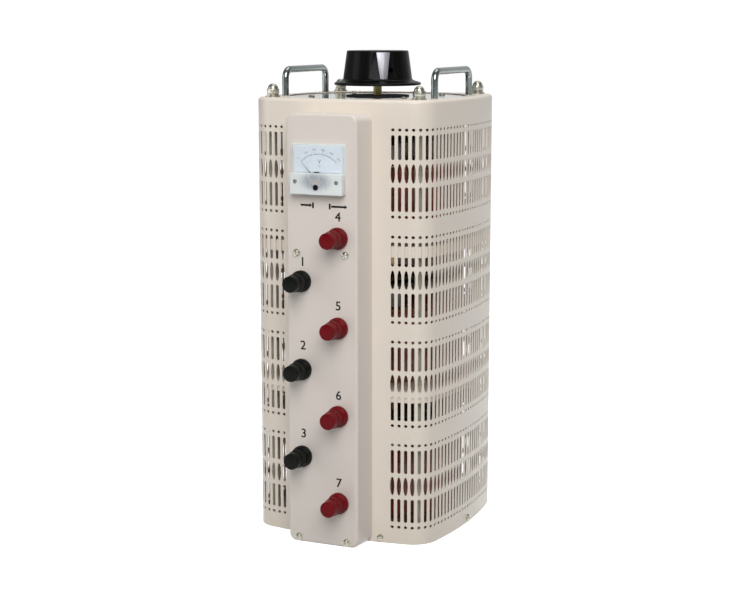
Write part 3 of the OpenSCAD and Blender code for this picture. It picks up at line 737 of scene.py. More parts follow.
class VARIAC_OT_case(bpy.types.Operator):
    """Build the two pierced halves of the case"""
    bl_idname = "variac.case"
    bl_label = "Case"

    def execute(self, context):
        settings = context.scene.variac_case
        for name, side in (("left", -1), ("right", 1)):
            half = case_half(settings, side)
            made = piece(f"case_{name}", half, "case_enamel", "case", [f"{name}_shell"], 40)
            # the sheet's inner side takes the near-black painted shade
            made.data.materials.append(finish_of("inside_painted_shade"))
        return {"FINISHED"}


# Terminal cover and its screws

# Shifts across, up and forwards that thicken the strokes of a figure
BOLD_STEPS = ((-0.2, 0.12, 0.0), (0.2, 0.12, 0.01), (-0.2, -0.12, 0.02), (0.2, -0.12, 0.03))
# Places (x, z) of the numbers by the input posts and then by the output posts
NUMBER_PLACES = (
    (-25.5, 325.6), (-25.5, 230.3), (-25.5, 128.2), (18.5, 377.8), (18.5, 278.1), (18.5, 176), (18.5, 74.5))
# Places and lengths (x, z, length) of the arrows for input and output
ARROW_PLACES = ((-20.6, 390, 17), (19.8, 389.5, 22.5))
ARROW_HEIGHT = 4.6
# Type size over the height of its figures
FACE_SIZE = 1.39
COVER_SHEET = 1.2
POST_RADIUS = 4.5


class VARIAC_PG_cover(bpy.types.PropertyGroup):
    fold: bpy.props.FloatProperty(
        name="Fold", description="Radius of the folds round the cover's face", default=0.0026, unit="LENGTH")
    corner: bpy.props.FloatProperty(
        name="Corner", description="Radius of the corners of the cover's face", default=0.009, unit="LENGTH")
    face: bpy.props.FloatProperty(
        name="Face", description="Right edge of the cover's flat face", default=0.0416, unit="LENGTH")
    figure: bpy.props.FloatProperty(
        name="Figures", description="Height of the terminal numbers", default=0.0105, unit="LENGTH")


def cover_shell(settings, walk):
    low, high = corners("terminal_cover")
    foot = -walk.front_at(high.x)
    bm = block((low.x, low.y, low.z), (high.x, foot, high.z))
    face = settings.face / MM
    for vert in bm.verts:
        if vert.co.y < low.y + 1:
            vert.co.x = face if vert.co.x > 0 else low.x
    back = [f for f in bm.faces if all(vert.co.y > foot - 1 for vert in f.verts)]
    bmesh.ops.delete(bm, geom=back, context="FACES_ONLY")
    deep = [edge for edge in bm.edges if abs(edge.verts[0].co.y - edge.verts[1].co.y) > 5]
    soften(bm, deep, settings.corner / MM, 6)
    front = edges_between(bm, lambda co: co.y < low.y + 0.5)
    soften(bm, front, settings.fold / MM, 4)
    for x in range(-32, 33, 8):
        bmesh.ops.bisect_plane(
            bm, geom=bm.verts[:] + bm.edges[:] + bm.faces[:], plane_co=(x, 0, 0), plane_no=(1, 0, 0))
    for vert in bm.verts:
        if vert.co.y > foot - 0.5:
            vert.co.y = 0.4 - walk.front_at(vert.co.x)
    bmesh.ops.recalc_face_normals(bm, faces=bm.faces)
    facing_front = max(bm.faces, key=lambda f: f.calc_area())
    if facing_front.normal.y > 0:
        bmesh.ops.reverse_faces(bm, faces=bm.faces)
    return thickened(bm, COVER_SHEET)


def cross_screw(radius, height, washer_radius, washer):
    """A domed screw head with a cross recess on a split washer, its seat at the origin, looking along +Z."""
    lift = washer
    head = turned([
        (0, lift), (radius, lift), (radius, lift + height * 0.4), (radius * 0.8, lift + height * 0.8),
        (radius * 0.4, lift + height), (0, lift + height),
    ], 0.25, 40)
    half, floor, above = radius * 0.62, lift + height * 0.45, lift + height + 1
    arms = [placed(block((-half, -0.42, floor), (half, 0.42, above)), about_z(angle)) for angle in (25, 115)]
    gap = block((0, -0.35, -1), (washer_radius + 1, 0.35, washer + 1))
    ring = cut(annulus(radius * 0.5, washer_radius, 0, washer, 40), [placed(gap, about_z(75))])
    return joined([cut(head, arms), ring])


def drawn_text(text, height, x, y, z):
    """Figures in the plain built-in face, standing upright at a place, as a closed mesh."""
    curve = bpy.data.curves.new("figures", "FONT")
    curve.body, curve.size, curve.extrude = text, height * FACE_SIZE, INK / 2
    curve.align_x, curve.align_y, curve.resolution_u = "CENTER", "CENTER", 3
    work = linked("figures", curve)
    graph = bpy.context.evaluated_depsgraph_get()
    mesh = bpy.data.meshes.new_from_object(work.evaluated_get(graph))
    bm = bmesh.new()
    bm.from_mesh(mesh)
    bpy.data.objects.remove(work)
    bpy.data.curves.remove(curve)
    bpy.data.meshes.remove(mesh)
    bmesh.ops.remove_doubles(bm, verts=bm.verts, dist=0.0001)
    return placed(bm, facing((x, y - INK / 2, z)))


def arrow(length, height, bar_first):
    """An arrow that points right, with an upright bar at its point or behind its tail."""
    half, stroke = length / 2, height * 0.24
    neck = half - height * 0.9
    shaft = [
        (-half + height * 0.35, -stroke), (neck, -stroke), (neck, -height / 2), (half - height * 0.25, 0),
        (neck, height / 2), (neck, stroke), (-half + height * 0.35, stroke),
    ]
    bar_x = -half if bar_first else half
    bar = [
        (bar_x - stroke, -height * 0.7), (bar_x + stroke, -height * 0.7),
        (bar_x + stroke, height * 0.7), (bar_x - stroke, height * 0.7),
    ]
    return joined([prism(shaft, INK), prism(bar, INK)])


class VARIAC_OT_cover(bpy.types.Operator):
    """Build the folded cover, its screws and its printed marks"""
    bl_idname = "variac.cover"
    bl_label = "Terminal cover"

    def execute(self, context):
        settings = context.scene.variac_cover
        shell = cover_shell(settings, case_outline(context.scene.variac_case))
        piece("front_cover", shell, "cover_enamel", "case", ["terminal_cover"])

        low, high = corners("cover_screws")
        face = corners("terminal_cover")[0].y
        posts_low, posts_high = corners("cover_posts")
        reach = (high.z - low.z - (posts_high.z - posts_low.z)) / 2 + POST_RADIUS
        places = [
            (x, face, z) for x in (low.x + reach, high.x - reach) for z in (low.z + reach, high.z - reach)
        ]
        screws = copies(cross_screw(3.8, 2.4, 4.6, 0.9), [facing(place) for place in places])
        piece("cover_screw_heads", screws, "fastener_zinc", "case", ["cover_screws"])

        figure = settings.figure / MM
        marks = [
            drawn_text(str(number), figure, x + across, face - lift, z + up)
            for number, (x, z) in enumerate(NUMBER_PLACES, 1)
            for across, up, lift in BOLD_STEPS
        ]
        for (x, z, length), bar_first in zip(ARROW_PLACES, (False, True)):
            marks.append(placed(arrow(length, ARROW_HEIGHT, bar_first), (x, face - INK, z)))
        piece("cover_print", joined(marks), "black_ink", "case")
        return {"FINISHED"}


# Binding posts

class VARIAC_PG_terminals(bpy.types.PropertyGroup):
    knurls: bpy.props.IntProperty(
        name="Knurls", description="Ridges round a cap's grip", default=54, min=12)
    knurl_depth: bpy.props.FloatProperty(
        name="Knurl depth", description="Depth of a ridge", default=0.00035, unit="LENGTH")


def terminal_cap(settings):
    """A screw cap with a ridged grip and a slimmer smooth tip, its seat at the origin, looking along +Z."""
    steps = settings.knurls * 4
    bm = turned([
        (0, 0), (9.6, 0), (10.2, 0.7), (10.2, 1.6), (10.2, 4.8), (10.2, 8.0), (10.2, 9.0), (9.35, 9.9),
        (9.3, 14), (9.15, 20), (8.5, 21), (0, 21),
    ], 0.2, steps)
    depth = settings.knurl_depth / MM
    for vert in bm.verts:
        radius = vert.co.xy.length
        if radius > 10.1 and 1.2 < vert.co.z < 8.9:
            turn = math.atan2(vert.co.y, vert.co.x) * settings.knurls
            vert.co.xy *= 1 - depth * (0.5 - 0.5 * math.cos(turn)) / radius
    return bm


def terminal_collar():
    """The collar behind a cap: a stepped flange with a groove, looking along +Z."""
    return turned([
        (0, 0), (12.25, 0), (12.25, 4.4), (11.5, 5.2), (10.9, 5.4), (10.9, 6.4), (11.3, 6.9),
        (11.1, 8.2), (10.4, 9), (0, 9),
    ], 0.3, 72)


class VARIAC_OT_terminals(bpy.types.Operator):
    """Build the binding posts' caps and collars"""
    bl_idname = "variac.terminals"
    bl_label = "Binding posts"

    def execute(self, context):
        settings = context.scene.variac_terminals
        for side, count, finish, slot in (
            ("input", 3, "black_moulding", "black_plastic"), ("output", 4, "red_moulding", "red_plastic"),
        ):
            collar_places = []
            for number in range(1, count + 1):
                node = f"{side}_cap_{number}"
                spot, seat = middle(node), corners(node)[1].y
                cap = placed(terminal_cap(settings), facing((spot.x, seat, spot.z)))
                piece(f"{side}_terminal_{number}", cap, finish, f"{side}_post_{number}_cap", [node], 45)
                collar_places.append(facing((spot.x, corners("terminal_cover")[0].y, spot.z)))
            collars = copies(terminal_collar(), collar_places)
            piece(f"{side}_terminal_collars", collars, finish, "case", [f"{side}_collars"])
        return {"FINISHED"}


# Control knob

class VARIAC_PG_knob(bpy.types.PropertyGroup):
    pointer: bpy.props.FloatProperty(
        name="Pointer", description="Direction of the pointer from the front towards the right",
        default=math.radians(34), subtype="ANGLE")
    flutes: bpy.props.FloatProperty(
        name="Flutes", description="Angle from the pointer to the flute at each side of it",
        default=math.radians(15.2), subtype="ANGLE")
    flute_depth: bpy.props.FloatProperty(
        name="Flute depth", description="Depth of a flute", default=0.0016, unit="LENGTH")
    set_screw: bpy.props.FloatProperty(
        name="Set screw", description="Angle from the pointer to the set screw's hole",
        default=math.radians(14.5), subtype="ANGLE")


# Radius and height of the knob's cone at its foot and its head
CONE_FOOT = (40.6, 7)
CONE_HEAD = (36.2, 39)
# Length of the bright strip up the cone
STRIP_LENGTH = 31
# Heights above the knob's own foot
STRIP_FOOT = 7.6
FLUTE_FOOT = 8.6
SET_SCREW_HEIGHT = 17.5


def on_cone(angle, height):
    """A matrix that stands a prism on the knob's cone, its face outwards."""
    lean = math.atan2(CONE_FOOT[0] - CONE_HEAD[0], CONE_HEAD[1] - CONE_FOOT[1])
    radius = CONE_FOOT[0] - (height - CONE_FOOT[1]) * math.tan(lean)
    return (
        Matrix.Rotation(angle - math.pi / 2, 4, "Z")
        @ Matrix.Translation((radius, 0, corners("control_knob")[0].z + height))
        @ Matrix.Rotation(-lean, 4, "Y")
        @ Matrix.Rotation(math.pi / 2, 4, "Z")
    )


def wedge_outline(spare=0.0):
    """The strip's outline (x, z), widened all round."""
    foot, head, low, high = 4.1 + spare, 8.1 + spare, -spare, STRIP_LENGTH + spare
    return [(-foot, low), (foot, low), (head, high), (-head, high)]


def knob_body(settings):
    foot = corners("control_knob")[0].z
    bm = placed(turned([
        (0, 0), (50.2, 0), (51, 0.7), (51, 2.5), (48.5, 3.7), (44.8, 4.7), (42, 5.7), CONE_FOOT, CONE_HEAD,
        (35.4, 40), (0, 40),
    ], 0.5, 144), (0, 0, foot))
    depth = settings.flute_depth / MM
    seat = on_cone(settings.pointer, STRIP_FOOT) @ Matrix.Translation((0, -3, 0))
    cutters = [placed(prism(wedge_outline(0.25), 6), seat)]
    for side in (-1, 1):
        flute = prism([(-6.6, 0), (6.6, 0), (side * 0.3 + 2.0, 29.6), (side * 0.3 - 2.0, 29.6)], 8 + depth)
        face = on_cone(settings.pointer + side * settings.flutes, FLUTE_FOOT)
        cutters.append(placed(flute, face @ Matrix.Translation((0, -8, 0))))
    turn = Matrix.Rotation(settings.pointer + settings.set_screw - math.pi / 2, 4, "Z")
    height = Matrix.Translation((0, 0, foot + SET_SCREW_HEIGHT))
    hole = placed(tube(3.1, 20, 60, 32), height @ turn @ Matrix.Rotation(math.pi / 2, 4, "Y"))
    bore = tube(5, foot - 1, foot + 26, 48)
    bm = cut(bm, cutters + [hole, bore])
    return bevelled(bm, 0.5, 30)


def pointer_strip():
    """The bright strip let into the knob, with a low ridge along its middle."""
    left_low, right_low, right_high, left_high = wedge_outline()
    bm = prism([left_low, (0, 0), right_low, right_high, (0, STRIP_LENGTH), left_high], 3)
    ridge = [vert for vert in bm.verts if abs(vert.co.x) < 0.01 and vert.co.y < 0.01]
    bmesh.ops.connect_verts(bm, verts=ridge)
    bmesh.ops.translate(bm, vec=(0, -0.5, 0), verts=ridge)
    soften(bm, bm.edges[:], 0.3)
    return placed(bm, Matrix.Translation((0, -0.2, 0)))


class VARIAC_OT_knob(bpy.types.Operator):
    """Build the control knob and its pointer"""
    bl_idname = "variac.knob"
    bl_label = "Control knob"

    def execute(self, context):
        settings = context.scene.variac_knob
        piece("knob", knob_body(settings), "knob_moulding", "rotor", ["control_knob"], 30)
        strip = placed(pointer_strip(), on_cone(settings.pointer, STRIP_FOOT))
        piece("knob_strip", strip, "pointer_aluminium", "rotor", ["knob_pointer"])
        return {"FINISHED"}


# Panel meter

class VARIAC_PG_meter(bpy.types.PropertyGroup):
    scale_radius: bpy.props.FloatProperty(
        name="Scale radius", description="Radius of the dial's arc", default=0.031, unit="LENGTH")
    swing: bpy.props.FloatProperty(
        name="Swing", description="Half of the needle's swing", default=math.radians(43.7), subtype="ANGLE")
    highest: bpy.props.IntProperty(
        name="Highest reading", description="Number at the end of the scale", default=500, min=10)


def arc_strip(radius, width, swing, centre):
    """A flat strip along an arc that is symmetric about the upright, thin but closed."""
    bm = bmesh.new()
    section = [(radius, 0, 0), (radius + width, 0, 0), (radius + width, -INK, 0), (radius, -INK, 0)]
    verts = [bm.verts.new(point) for point in section]
    face = bm.faces.new(verts)
    bmesh.ops.rotate(bm, verts=verts, cent=(0, 0, 0), matrix=Matrix.Rotation(swing - math.pi / 2, 3, "Y"))
    bmesh.ops.spin(
        bm, geom=[face], cent=(0, 0, 0), axis=(0, 1, 0), angle=-2 * swing, steps=48,
        use_merge=False, use_duplicate=False,
    )
    bmesh.ops.recalc_face_normals(bm, faces=bm.faces)
    return placed(bm, centre)


class VARIAC_OT_meter(bpy.types.Operator):
    """Build the panel meter: housing, window, dial, needle and adjuster"""
    bl_idname = "variac.meter"
    bl_label = "Panel meter"

    def execute(self, context):
        settings = context.scene.variac_meter
        low, high = corners("meter_case")
        window_low, window_high = corners("meter_window")
        card_low, card_high = corners("meter_dial")
        back = corners("terminal_cover")[0].y

        centre = middle("meter_case")
        drum = tube(24, 0, high.y - back, 64)
        housing = joined([
            block((low.x, card_high.y, low.z), (high.x, back, high.z), 0.5),
            block((low.x, low.y, low.z), (high.x, card_high.y + 0.5, window_low.z), 1.1, 3),
            placed(drum, facing((centre.x, high.y, centre.z - 3))),
        ])
        piece("meter_housing", housing, "frosted_moulding", "case", ["meter_case"])

        pane = block(window_low, window_high, 0.8, 3)
        behind = [
            face for face in pane.faces
            if face.normal.y > 0.99 and face.calc_center_median().y > window_high.y - 0.01
        ]
        bmesh.ops.delete(pane, geom=behind, context="FACES")
        piece("meter_pane", thickened(pane, 1.2), "clear_plastic", "case", ["meter_window"])

        card = block(card_low, card_high)
        piece("meter_card", card, "dial_card", "case", ["meter_dial"])
        self.print_dial(settings, card_low.y)
        self.make_needle(settings, card_low.y)

        adjuster = middle("meter_zero_screw")
        head = turned([(0, 0), (3.2, 0), (3.2, 0.5), (2.7, 1.2), (0, 1.2)], 0.25, 40)
        head = cut(head, [placed(block((-4, -0.35, 0.5), (4, 0.35, 3)), about_z(60))])
        shank = tube(2.4, -2, 0.1, 32)
        seat = low.y - 0.05
        screw = placed(joined([head, shank]), facing((adjuster.x, seat, adjuster.z)))
        piece("meter_adjuster", screw, "black_moulding", "zero_screw", ["meter_zero_screw"])

        screw_low, screw_high = corners("meter_screws")
        z = (screw_low.z + screw_high.z) / 2
        fixing = turned([(0, 0), (2.3, 0), (2.3, 0.5), (1.6, 0.95), (0, 0.95)], 0.2, 32)
        fixing = cut(fixing, [block((-3, -0.3, 0.45), (3, 0.3, 2))])
        places = [facing((x, low.y, z)) for x in (screw_low.x + 2.4, screw_high.x - 2.4)]
        heads = copies(fixing, places)
        piece("meter_fixings", heads, "cast_aluminium", "case", ["meter_screws"])

        mark = block(
            (adjuster.x - 3.3, window_low.y - INK, window_low.z + 0.4),
            (adjuster.x + 3.3, window_low.y + 0.3, window_low.z + 1.6))
        piece("meter_mark", mark, "black_ink", "case")
        return {"FINISHED"}

    def print_dial(self, settings, face):
        pivot = pivot_of("needle_swing")
        radius, swing = settings.scale_radius / MM, settings.swing
        centre = Vector((pivot.x, face, pivot.z))
        marks = [arc_strip(radius - 0.8, 0.45, swing, centre)]
        divisions = 25
        for index in range(divisions + 1):
            angle = swing * (2 * index / divisions - 1)
            long_mark = index % 5 == 0
            tick = block((-0.14, -INK, radius - 0.4), (0.14, 0, radius + (2.2 if long_mark else 1.2)))
            marks.append(placed(tick, Matrix.Translation(centre) @ Matrix.Rotation(angle, 4, "Y")))
            if long_mark:
                reading = str(settings.highest * index // divisions)
                spot = centre + Matrix.Rotation(angle, 3, "Y") @ Vector((0, 0, radius + 4.4))
                figure = drawn_text(reading, 2.3, 0, 0, 0)
                marks.append(placed(figure, Matrix.Translation(spot) @ Matrix.Rotation(angle, 4, "Y")))
        piece("dial_print", joined(marks), "grey_ink", "case")
        unit = [
            drawn_text("V", 4.6, centre.x + 1, face, centre.z + 22.4),
            drawn_text("~", 3.4, centre.x + 1, face, centre.z + 17.4),
        ]
        piece("dial_symbol", joined(unit), "black_ink", "case")

    def make_needle(self, settings, face):
        pivot = pivot_of("needle_swing")
        needle = prism([(-0.55, -8), (0.55, -8), (0.55, 4), (0.14, 29), (-0.14, 29), (-0.55, 4)], 0.4)
        hub = placed(turned([(0, 0), (3, 0), (3, 0.7), (0, 0.7)], 0.2, 40), facing((0, 0.3, 0)))
        shape = placed(joined([needle, hub]), Matrix.Rotation(-settings.swing, 4, "Y"))
        axle = placed(tube(0.8, 0, 22, 16), facing((0, 22.5, 0)))
        whole = placed(joined([shape, axle]), (pivot.x, face - 1.6, pivot.z))
        piece("needle", whole, "needle_paint", "needle", ["meter_needle"])


def pivot_of(joint):
    """A hinge's pivot in millimetres."""
    found = [entry for entry in frame["joints"] if entry["name"] == joint][0]
    return Vector(found["pos_m"]) / MM


# Handles and rod nuts

class VARIAC_PG_handles(bpy.types.PropertyGroup):
    rod: bpy.props.FloatProperty(
        name="Rod", description="Radius of a handle's rod", default=0.004, unit="LENGTH")
    bend: bpy.props.FloatProperty(
        name="Bend", description="Radius of a handle's bends on the centre line", default=0.0105,
        unit="LENGTH")


def shift(vector):
    return lambda co: co + Vector(vector)


def handle(settings, x, foot, top, reach):
    """A bent rod in a plane of constant x: up, over and down."""
    radius, bend = settings.rod / MM, settings.bend / MM
    bm = bmesh.new()
    ring = bmesh.ops.create_circle(bm, cap_ends=True, segments=32, radius=radius)["verts"]
    bmesh.ops.translate(bm, vec=(x, -reach, foot), verts=ring)
    edges = extended(bm, bm.edges[:], shift((0, 0, top - bend - foot)))
    over, down = (0, 2 * (reach - bend), 0), (0, 0, foot - top + bend)
    for y, straight in ((bend - reach, over), (reach - bend, down)):
        swung = bmesh.ops.spin(
            bm, geom=edges, cent=(x, y, top - bend), axis=(1, 0, 0), angle=-math.pi / 2, steps=14,
            use_merge=False, use_duplicate=False,
        )["geom_last"]
        edges = [item for item in swung if isinstance(item, bmesh.types.BMEdge)]
        edges = extended(bm, edges, shift(straight))
    bmesh.ops.contextual_create(bm, geom=edges)
    bmesh.ops.recalc_face_normals(bm, faces=bm.faces)
    return bm


def cap_nut():
    """A domed nut on a split washer and a flat washer, its seat at the origin."""
    radius = 6.5 / math.cos(math.pi / 6)
    hexagon = bmesh.new()
    bmesh.ops.create_cone(hexagon, cap_ends=True, segments=6, radius1=radius, radius2=radius, depth=5.8)
    bmesh.ops.translate(hexagon, vec=(0, 0, 3.6 + 2.9), verts=hexagon.verts)
    soften(hexagon, hexagon.edges[:], 0.45)
    dome = turned(
        [(0, 9), (6.05, 9.0)] + [
            (6.05 * math.cos(math.radians(a)), 9.4 + 5.8 * math.sin(math.radians(a))) for a in range(0, 91, 9)
        ], 0, 48)
    flat = annulus(4.2, 8.3, 0, 1.6)
    gap = placed(block((0, -0.5, 1), (9, 0.5, 4)), about_z(-50))
    return joined([hexagon, dome, flat, cut(annulus(4.2, 6.8, 1.6, 3.6), [gap])])


# Radius of a tie rod, and the wall of the sleeves on it
ROD = 4
SLEEVE_WALL = 0.9
# Clear heights between one tray and the next that the sleeves fill
SPANS = ((12.5, 175.7), (178.2, 341.4), (343.9, 500.8))
# Height of the plain nuts under the base
LOW_NUT = 6.5


class VARIAC_OT_handles(bpy.types.Operator):
    """Build the carrying handles and the nuts on the tie rods"""
    bl_idname = "variac.handles"
    bl_label = "Handles and nuts"

    def execute(self, context):
        settings = context.scene.variac_handles
        low, high = corners("carry_handles")
        case_top = corners("left_shell")[1].z
        radius = settings.rod / MM
        for name, x in (("left", low.x + radius), ("right", high.x - radius)):
            rod = handle(settings, x, case_top - 1.2, high.z - radius, high.y - radius)
            replaced = ["carry_handles"] if name == "left" else []
            piece(f"{name}_handle", rod, "chrome", "case", replaced)
        off = corners("tie_rods")[1].x - ROD
        places = [(x * off, y * off, 0) for x in (-1, 1) for y in (-1, 1)]
        moves = [Matrix.Translation(place) for place in places]
        sleeves = joined([copies(annulus(ROD, ROD + SLEEVE_WALL, *span, 32), moves) for span in SPANS])
        piece("rod_sleeves", sleeves, "tube_paint", "case", ["spacer_tubes"])
        turns = ((-1, -1, 12), (1, -1, 40), (1, 1, 5), (-1, 1, 25))
        places = [
            Matrix.Translation((x * off, y * off, case_top)) @ about_z(angle) for x, y, angle in turns
        ]
        low_z = corners("acorn_nuts")[0].z + LOW_NUT / 2
        low_nuts = [Matrix.Translation((x * off, y * off, low_z)) for x, y, angle in turns]
        plain = bmesh.new()
        bmesh.ops.create_cone(plain, cap_ends=True, segments=6, radius1=7.5, radius2=7.5, depth=LOW_NUT)
        soften(plain, plain.edges[:], 0.4)
        nuts = joined([copies(cap_nut(), places), copies(plain, low_nuts)])
        piece("rod_nuts", nuts, "fastener_zinc", "case", ["acorn_nuts", "nut_washers"])
        return {"FINISHED"}


# Coils

class VARIAC_PG_coils(bpy.types.PropertyGroup):
    turns: bpy.props.IntProperty(
        name="Turns", description="Turns of wire that show round a coil", default=168, min=24)
    wire: bpy.props.FloatProperty(
        name="Wire", description="Depth of the groove between two turns", default=0.0011, unit="LENGTH")


# Radius of a coil's bore, and of its rounded edges
COIL_BORE = 44
COIL_EDGE = 8


def winding(settings, low, high, outer, inner):
    """A ring of wire: a rounded section swept round the axis, pinched between the turns."""
    bm = bmesh.new()
    section = outline(bm, [(inner, low), (outer, low), (outer, high), (inner, high)], closed=True)
    section_corners = list({vert for made in section for vert in made.verts})
    bmesh.ops.bevel(
        bm, geom=section_corners, offset=COIL_EDGE, offset_type="OFFSET", segments=5, profile=0.5,
        affect="VERTICES", material=-1,
    )
    bm.edges.ensure_lookup_table()
    long_sides = [made for made in bm.edges if made.calc_length() > 20]
    bmesh.ops.subdivide_edges(bm, edges=long_sides, cuts=2)
    bmesh.ops.spin(
        bm, geom=bm.verts[:] + bm.edges[:], cent=(0, 0, 0), axis=(0, 0, 1), angle=math.tau,
        steps=settings.turns * 4, use_merge=True, use_duplicate=False,
    )
    bmesh.ops.remove_doubles(bm, verts=bm.verts, dist=0.001)
    bmesh.ops.recalc_face_normals(bm, faces=bm.faces)
    bm.normal_update()
    depth = settings.wire / MM
    for vert in bm.verts:
        turn = math.atan2(vert.co.y, vert.co.x) * settings.turns
        vert.co += vert.normal * depth * abs(math.sin(turn / 2)) - vert.normal * depth
    return bm


class VARIAC_OT_coils(bpy.types.Operator):
    """Build the three windings"""
    bl_idname = "variac.coils"
    bl_label = "Coils"

    def execute(self, context):
        settings = context.scene.variac_coils
        low, high = corners("windings")
        tall = high.z - corners("coil_pads")[1].z
        pitch = (high.z - low.z - tall) / 2
        for number in (1, 2, 3):
            foot = low.z + (number - 1) * pitch
            ring = winding(settings, foot, foot + tall, high.x, COIL_BORE)
            replaced = ["windings"] if number == 1 else []
            piece(f"coil_{number}", ring, "wire_enamel", "case", replaced, 60)
        return {"FINISHED"}


# Finishes of the CAD parts that stay

KEPT_FINISHES = {
    "tray_zinc": ("base_plate", "seam_strips", "cover_posts", "stop_post"),
    "case_enamel": ("shelves",),
    "polished_plate": ("top_plate",),
    "black_moulding": ("knob_set_screw",),
    "matt_black": ("bearing_cover",),
    "bronze": ("shaft_bearings", "collector_rings", "collector_fingers"),
    "fastener_zinc": ("tie_rods", "handle_nuts", "case_screws"),
    "laminate": ("coil_pads", "hub_bushes"),
    "core_steel": ("toroid_cores", "meter_movement"),
    "bare_copper": ("brush_tracks",),
    "shaft_brass": ("main_shaft", "terminal_studs", "terminal_nuts"),
    "cast_aluminium": ("brush_arms", "stop_arm"),
    "black_anodised": ("heat_sinks",),
    "carbon": ("carbon_brushes",),
    "lead_sleeve": ("wiring_leads",),
}


class VARIAC_OT_frame(bpy.types.Operator):
    """Give the CAD parts that stay their finishes"""
    bl_idname = "variac.frame"
    bl_label = "Frame finishes"

    def execute(self, context):
        for finish, nodes in KEPT_FINISHES.items():
            for node in nodes:
                self.coat(frame["nodes"][node], finish)
        for name, node in frame["nodes"].items():
            if "_washer_" in name:
                self.coat(node, "fastener_zinc")
        return {"FINISHED"}

    def coat(self, node, finish):
        if not node.material_slots:
            node.data.materials.append(None)
        for slot in node.material_slots:
            slot.material = finish_of(finish)


# Stage

class VARIAC_PG_stage(bpy.types.PropertyGroup):
    azimuth: bpy.props.FloatProperty(
        name="Azimuth", description="Direction of the view from the front towards the right",
        default=math.radians(24.15), subtype="ANGLE")
    pitch: bpy.props.FloatProperty(
        name="Pitch", description="Downward tilt of the view", default=math.radians(9.467), subtype="ANGLE")
    lens: bpy.props.FloatProperty(name="Lens", description="Focal length in millimetres", default=79.8)
    key: bpy.props.FloatProperty(name="Key light", description="Power of the key light in watts", default=61)
    fill: bpy.props.FloatProperty(
        name="Fill light", description="Power of the fill light in watts", default=9)
    front: bpy.props.FloatProperty(
        name="Front", description="Brightness of the room in front of the object", default=0.24)
    behind: bpy.props.FloatProperty(
        name="Behind", description="Brightness of the room behind the object", default=0.8)
    top: bpy.props.FloatProperty(name="Top light", description="Power of the top light in watts", default=12)


CAMERA_PLACE = (0.8028, -1.7981, 0.5899)
LIGHT_AIM = (0, 0, 0.3)
FLOOR_RADIUS = 14
# Backward part of a direction from which the room brightens towards the back
ROOM_TURN = 0.45


def area_light(name, power, size, place):
    light = bpy.data.lights.new(name, "AREA")
    light.energy, light.shape, light.size, light.size_y = power, "RECTANGLE", *size
    made = linked(name, light)
    made.location = place
    made.rotation_euler = (Vector(LIGHT_AIM) - Vector(place)).to_track_quat("-Z", "Y").to_euler()


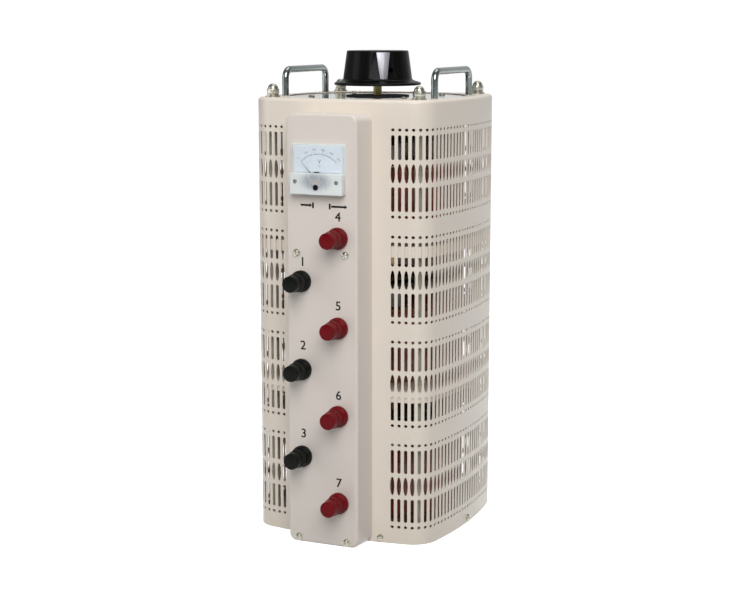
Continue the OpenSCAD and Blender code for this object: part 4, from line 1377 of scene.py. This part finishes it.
class VARIAC_OT_stage(bpy.types.Operator):
    """Make the floor, the lights and the camera"""
    bl_idname = "variac.stage"
    bl_label = "Stage"

    def execute(self, context):
        settings = context.scene.variac_stage
        scene = context.scene
        scene.view_settings.view_transform = "Standard"
        floor = bmesh.new()
        bmesh.ops.create_circle(floor, cap_ends=True, segments=96, radius=FLOOR_RADIUS)
        ground = linked("floor", mesh_of("floor", floor))
        ground.data.materials.append(finish_of("studio_floor"))
        ground.visible_diffuse = False

        world = bpy.data.worlds.new("studio")
        scene.world = world
        world.use_nodes = True
        nodes, links = world.node_tree.nodes, world.node_tree.links
        backdrop = nodes["Background"]
        backdrop.inputs["Color"].default_value = (1, 1, 1, 1)
        backdrop.inputs["Strength"].default_value = 1.0
        room = nodes.new("ShaderNodeBackground")
        room.inputs["Color"].default_value = (0.98, 0.99, 1.0, 1)
        ahead = nodes.new("ShaderNodeTexCoord")
        split = nodes.new("ShaderNodeSeparateXYZ")
        ramp = nodes.new("ShaderNodeMapRange")
        limits = {
            "From Min": ROOM_TURN, "From Max": 1.0, "To Min": settings.front, "To Max": settings.behind}
        for socket, value in limits.items():
            ramp.inputs[socket].default_value = value
        links.new(ahead.outputs["Generated"], split.inputs[0])
        links.new(split.outputs["Y"], ramp.inputs["Value"])
        links.new(ramp.outputs["Result"], room.inputs["Strength"])
        rays = nodes.new("ShaderNodeLightPath")
        mix = nodes.new("ShaderNodeMixShader")
        links.new(rays.outputs["Is Camera Ray"], mix.inputs[0])
        links.new(room.outputs[0], mix.inputs[1])
        links.new(backdrop.outputs[0], mix.inputs[2])
        links.new(mix.outputs[0], nodes["World Output"].inputs["Surface"])

        area_light("key_light", settings.key, (1.9, 1.9), (1.0, -2.0, 1.9))
        area_light("fill_light", settings.fill, (1.0, 1.6), (-2.0, -1.2, 0.9))
        area_light("top_light", settings.top, (1.4, 1.4), (0.1, 0.4, 2.4))

        camera = bpy.data.cameras.new("camera")
        camera.lens, camera.sensor_width = settings.lens, 36
        camera.clip_start, camera.clip_end = 0.05, 100
        made = linked("camera", camera)
        made.location = CAMERA_PLACE
        made.rotation_euler = (math.pi / 2 - settings.pitch, 0, settings.azimuth)
        scene.camera = made
        return {"FINISHED"}


class VARIAC_PT_panel(bpy.types.Panel):
    bl_label = "Variac"
    bl_idname = "VARIAC_PT_panel"
    bl_space_type = "VIEW_3D"
    bl_region_type = "UI"
    bl_category = "Variac"

    def draw(self, context):
        for operator in OPERATORS:
            self.layout.operator(operator.bl_idname)


SETTINGS = {
    "variac_case": VARIAC_PG_case,
    "variac_cover": VARIAC_PG_cover,
    "variac_terminals": VARIAC_PG_terminals,
    "variac_knob": VARIAC_PG_knob,
    "variac_meter": VARIAC_PG_meter,
    "variac_handles": VARIAC_PG_handles,
    "variac_coils": VARIAC_PG_coils,
    "variac_stage": VARIAC_PG_stage,
}
OPERATORS = (
    VARIAC_OT_stage, VARIAC_OT_frame, VARIAC_OT_case, VARIAC_OT_cover, VARIAC_OT_terminals,
    VARIAC_OT_knob, VARIAC_OT_meter, VARIAC_OT_handles, VARIAC_OT_coils,
)


def register():
    for made in (*SETTINGS.values(), *OPERATORS, VARIAC_PT_panel):
        bpy.utils.register_class(made)
    for name, group in SETTINGS.items():
        setattr(bpy.types.Scene, name, bpy.props.PointerProperty(type=group))


def unregister():
    for name in SETTINGS:
        delattr(bpy.types.Scene, name)
    for made in (VARIAC_PT_panel, *reversed(OPERATORS), *SETTINGS.values()):
        bpy.utils.unregister_class(made)


def main():
    register()
    for operator in OPERATORS:
        group, name = operator.bl_idname.split(".")
        getattr(getattr(bpy.ops, group), name)()


if __name__ == "__main__":
    main()
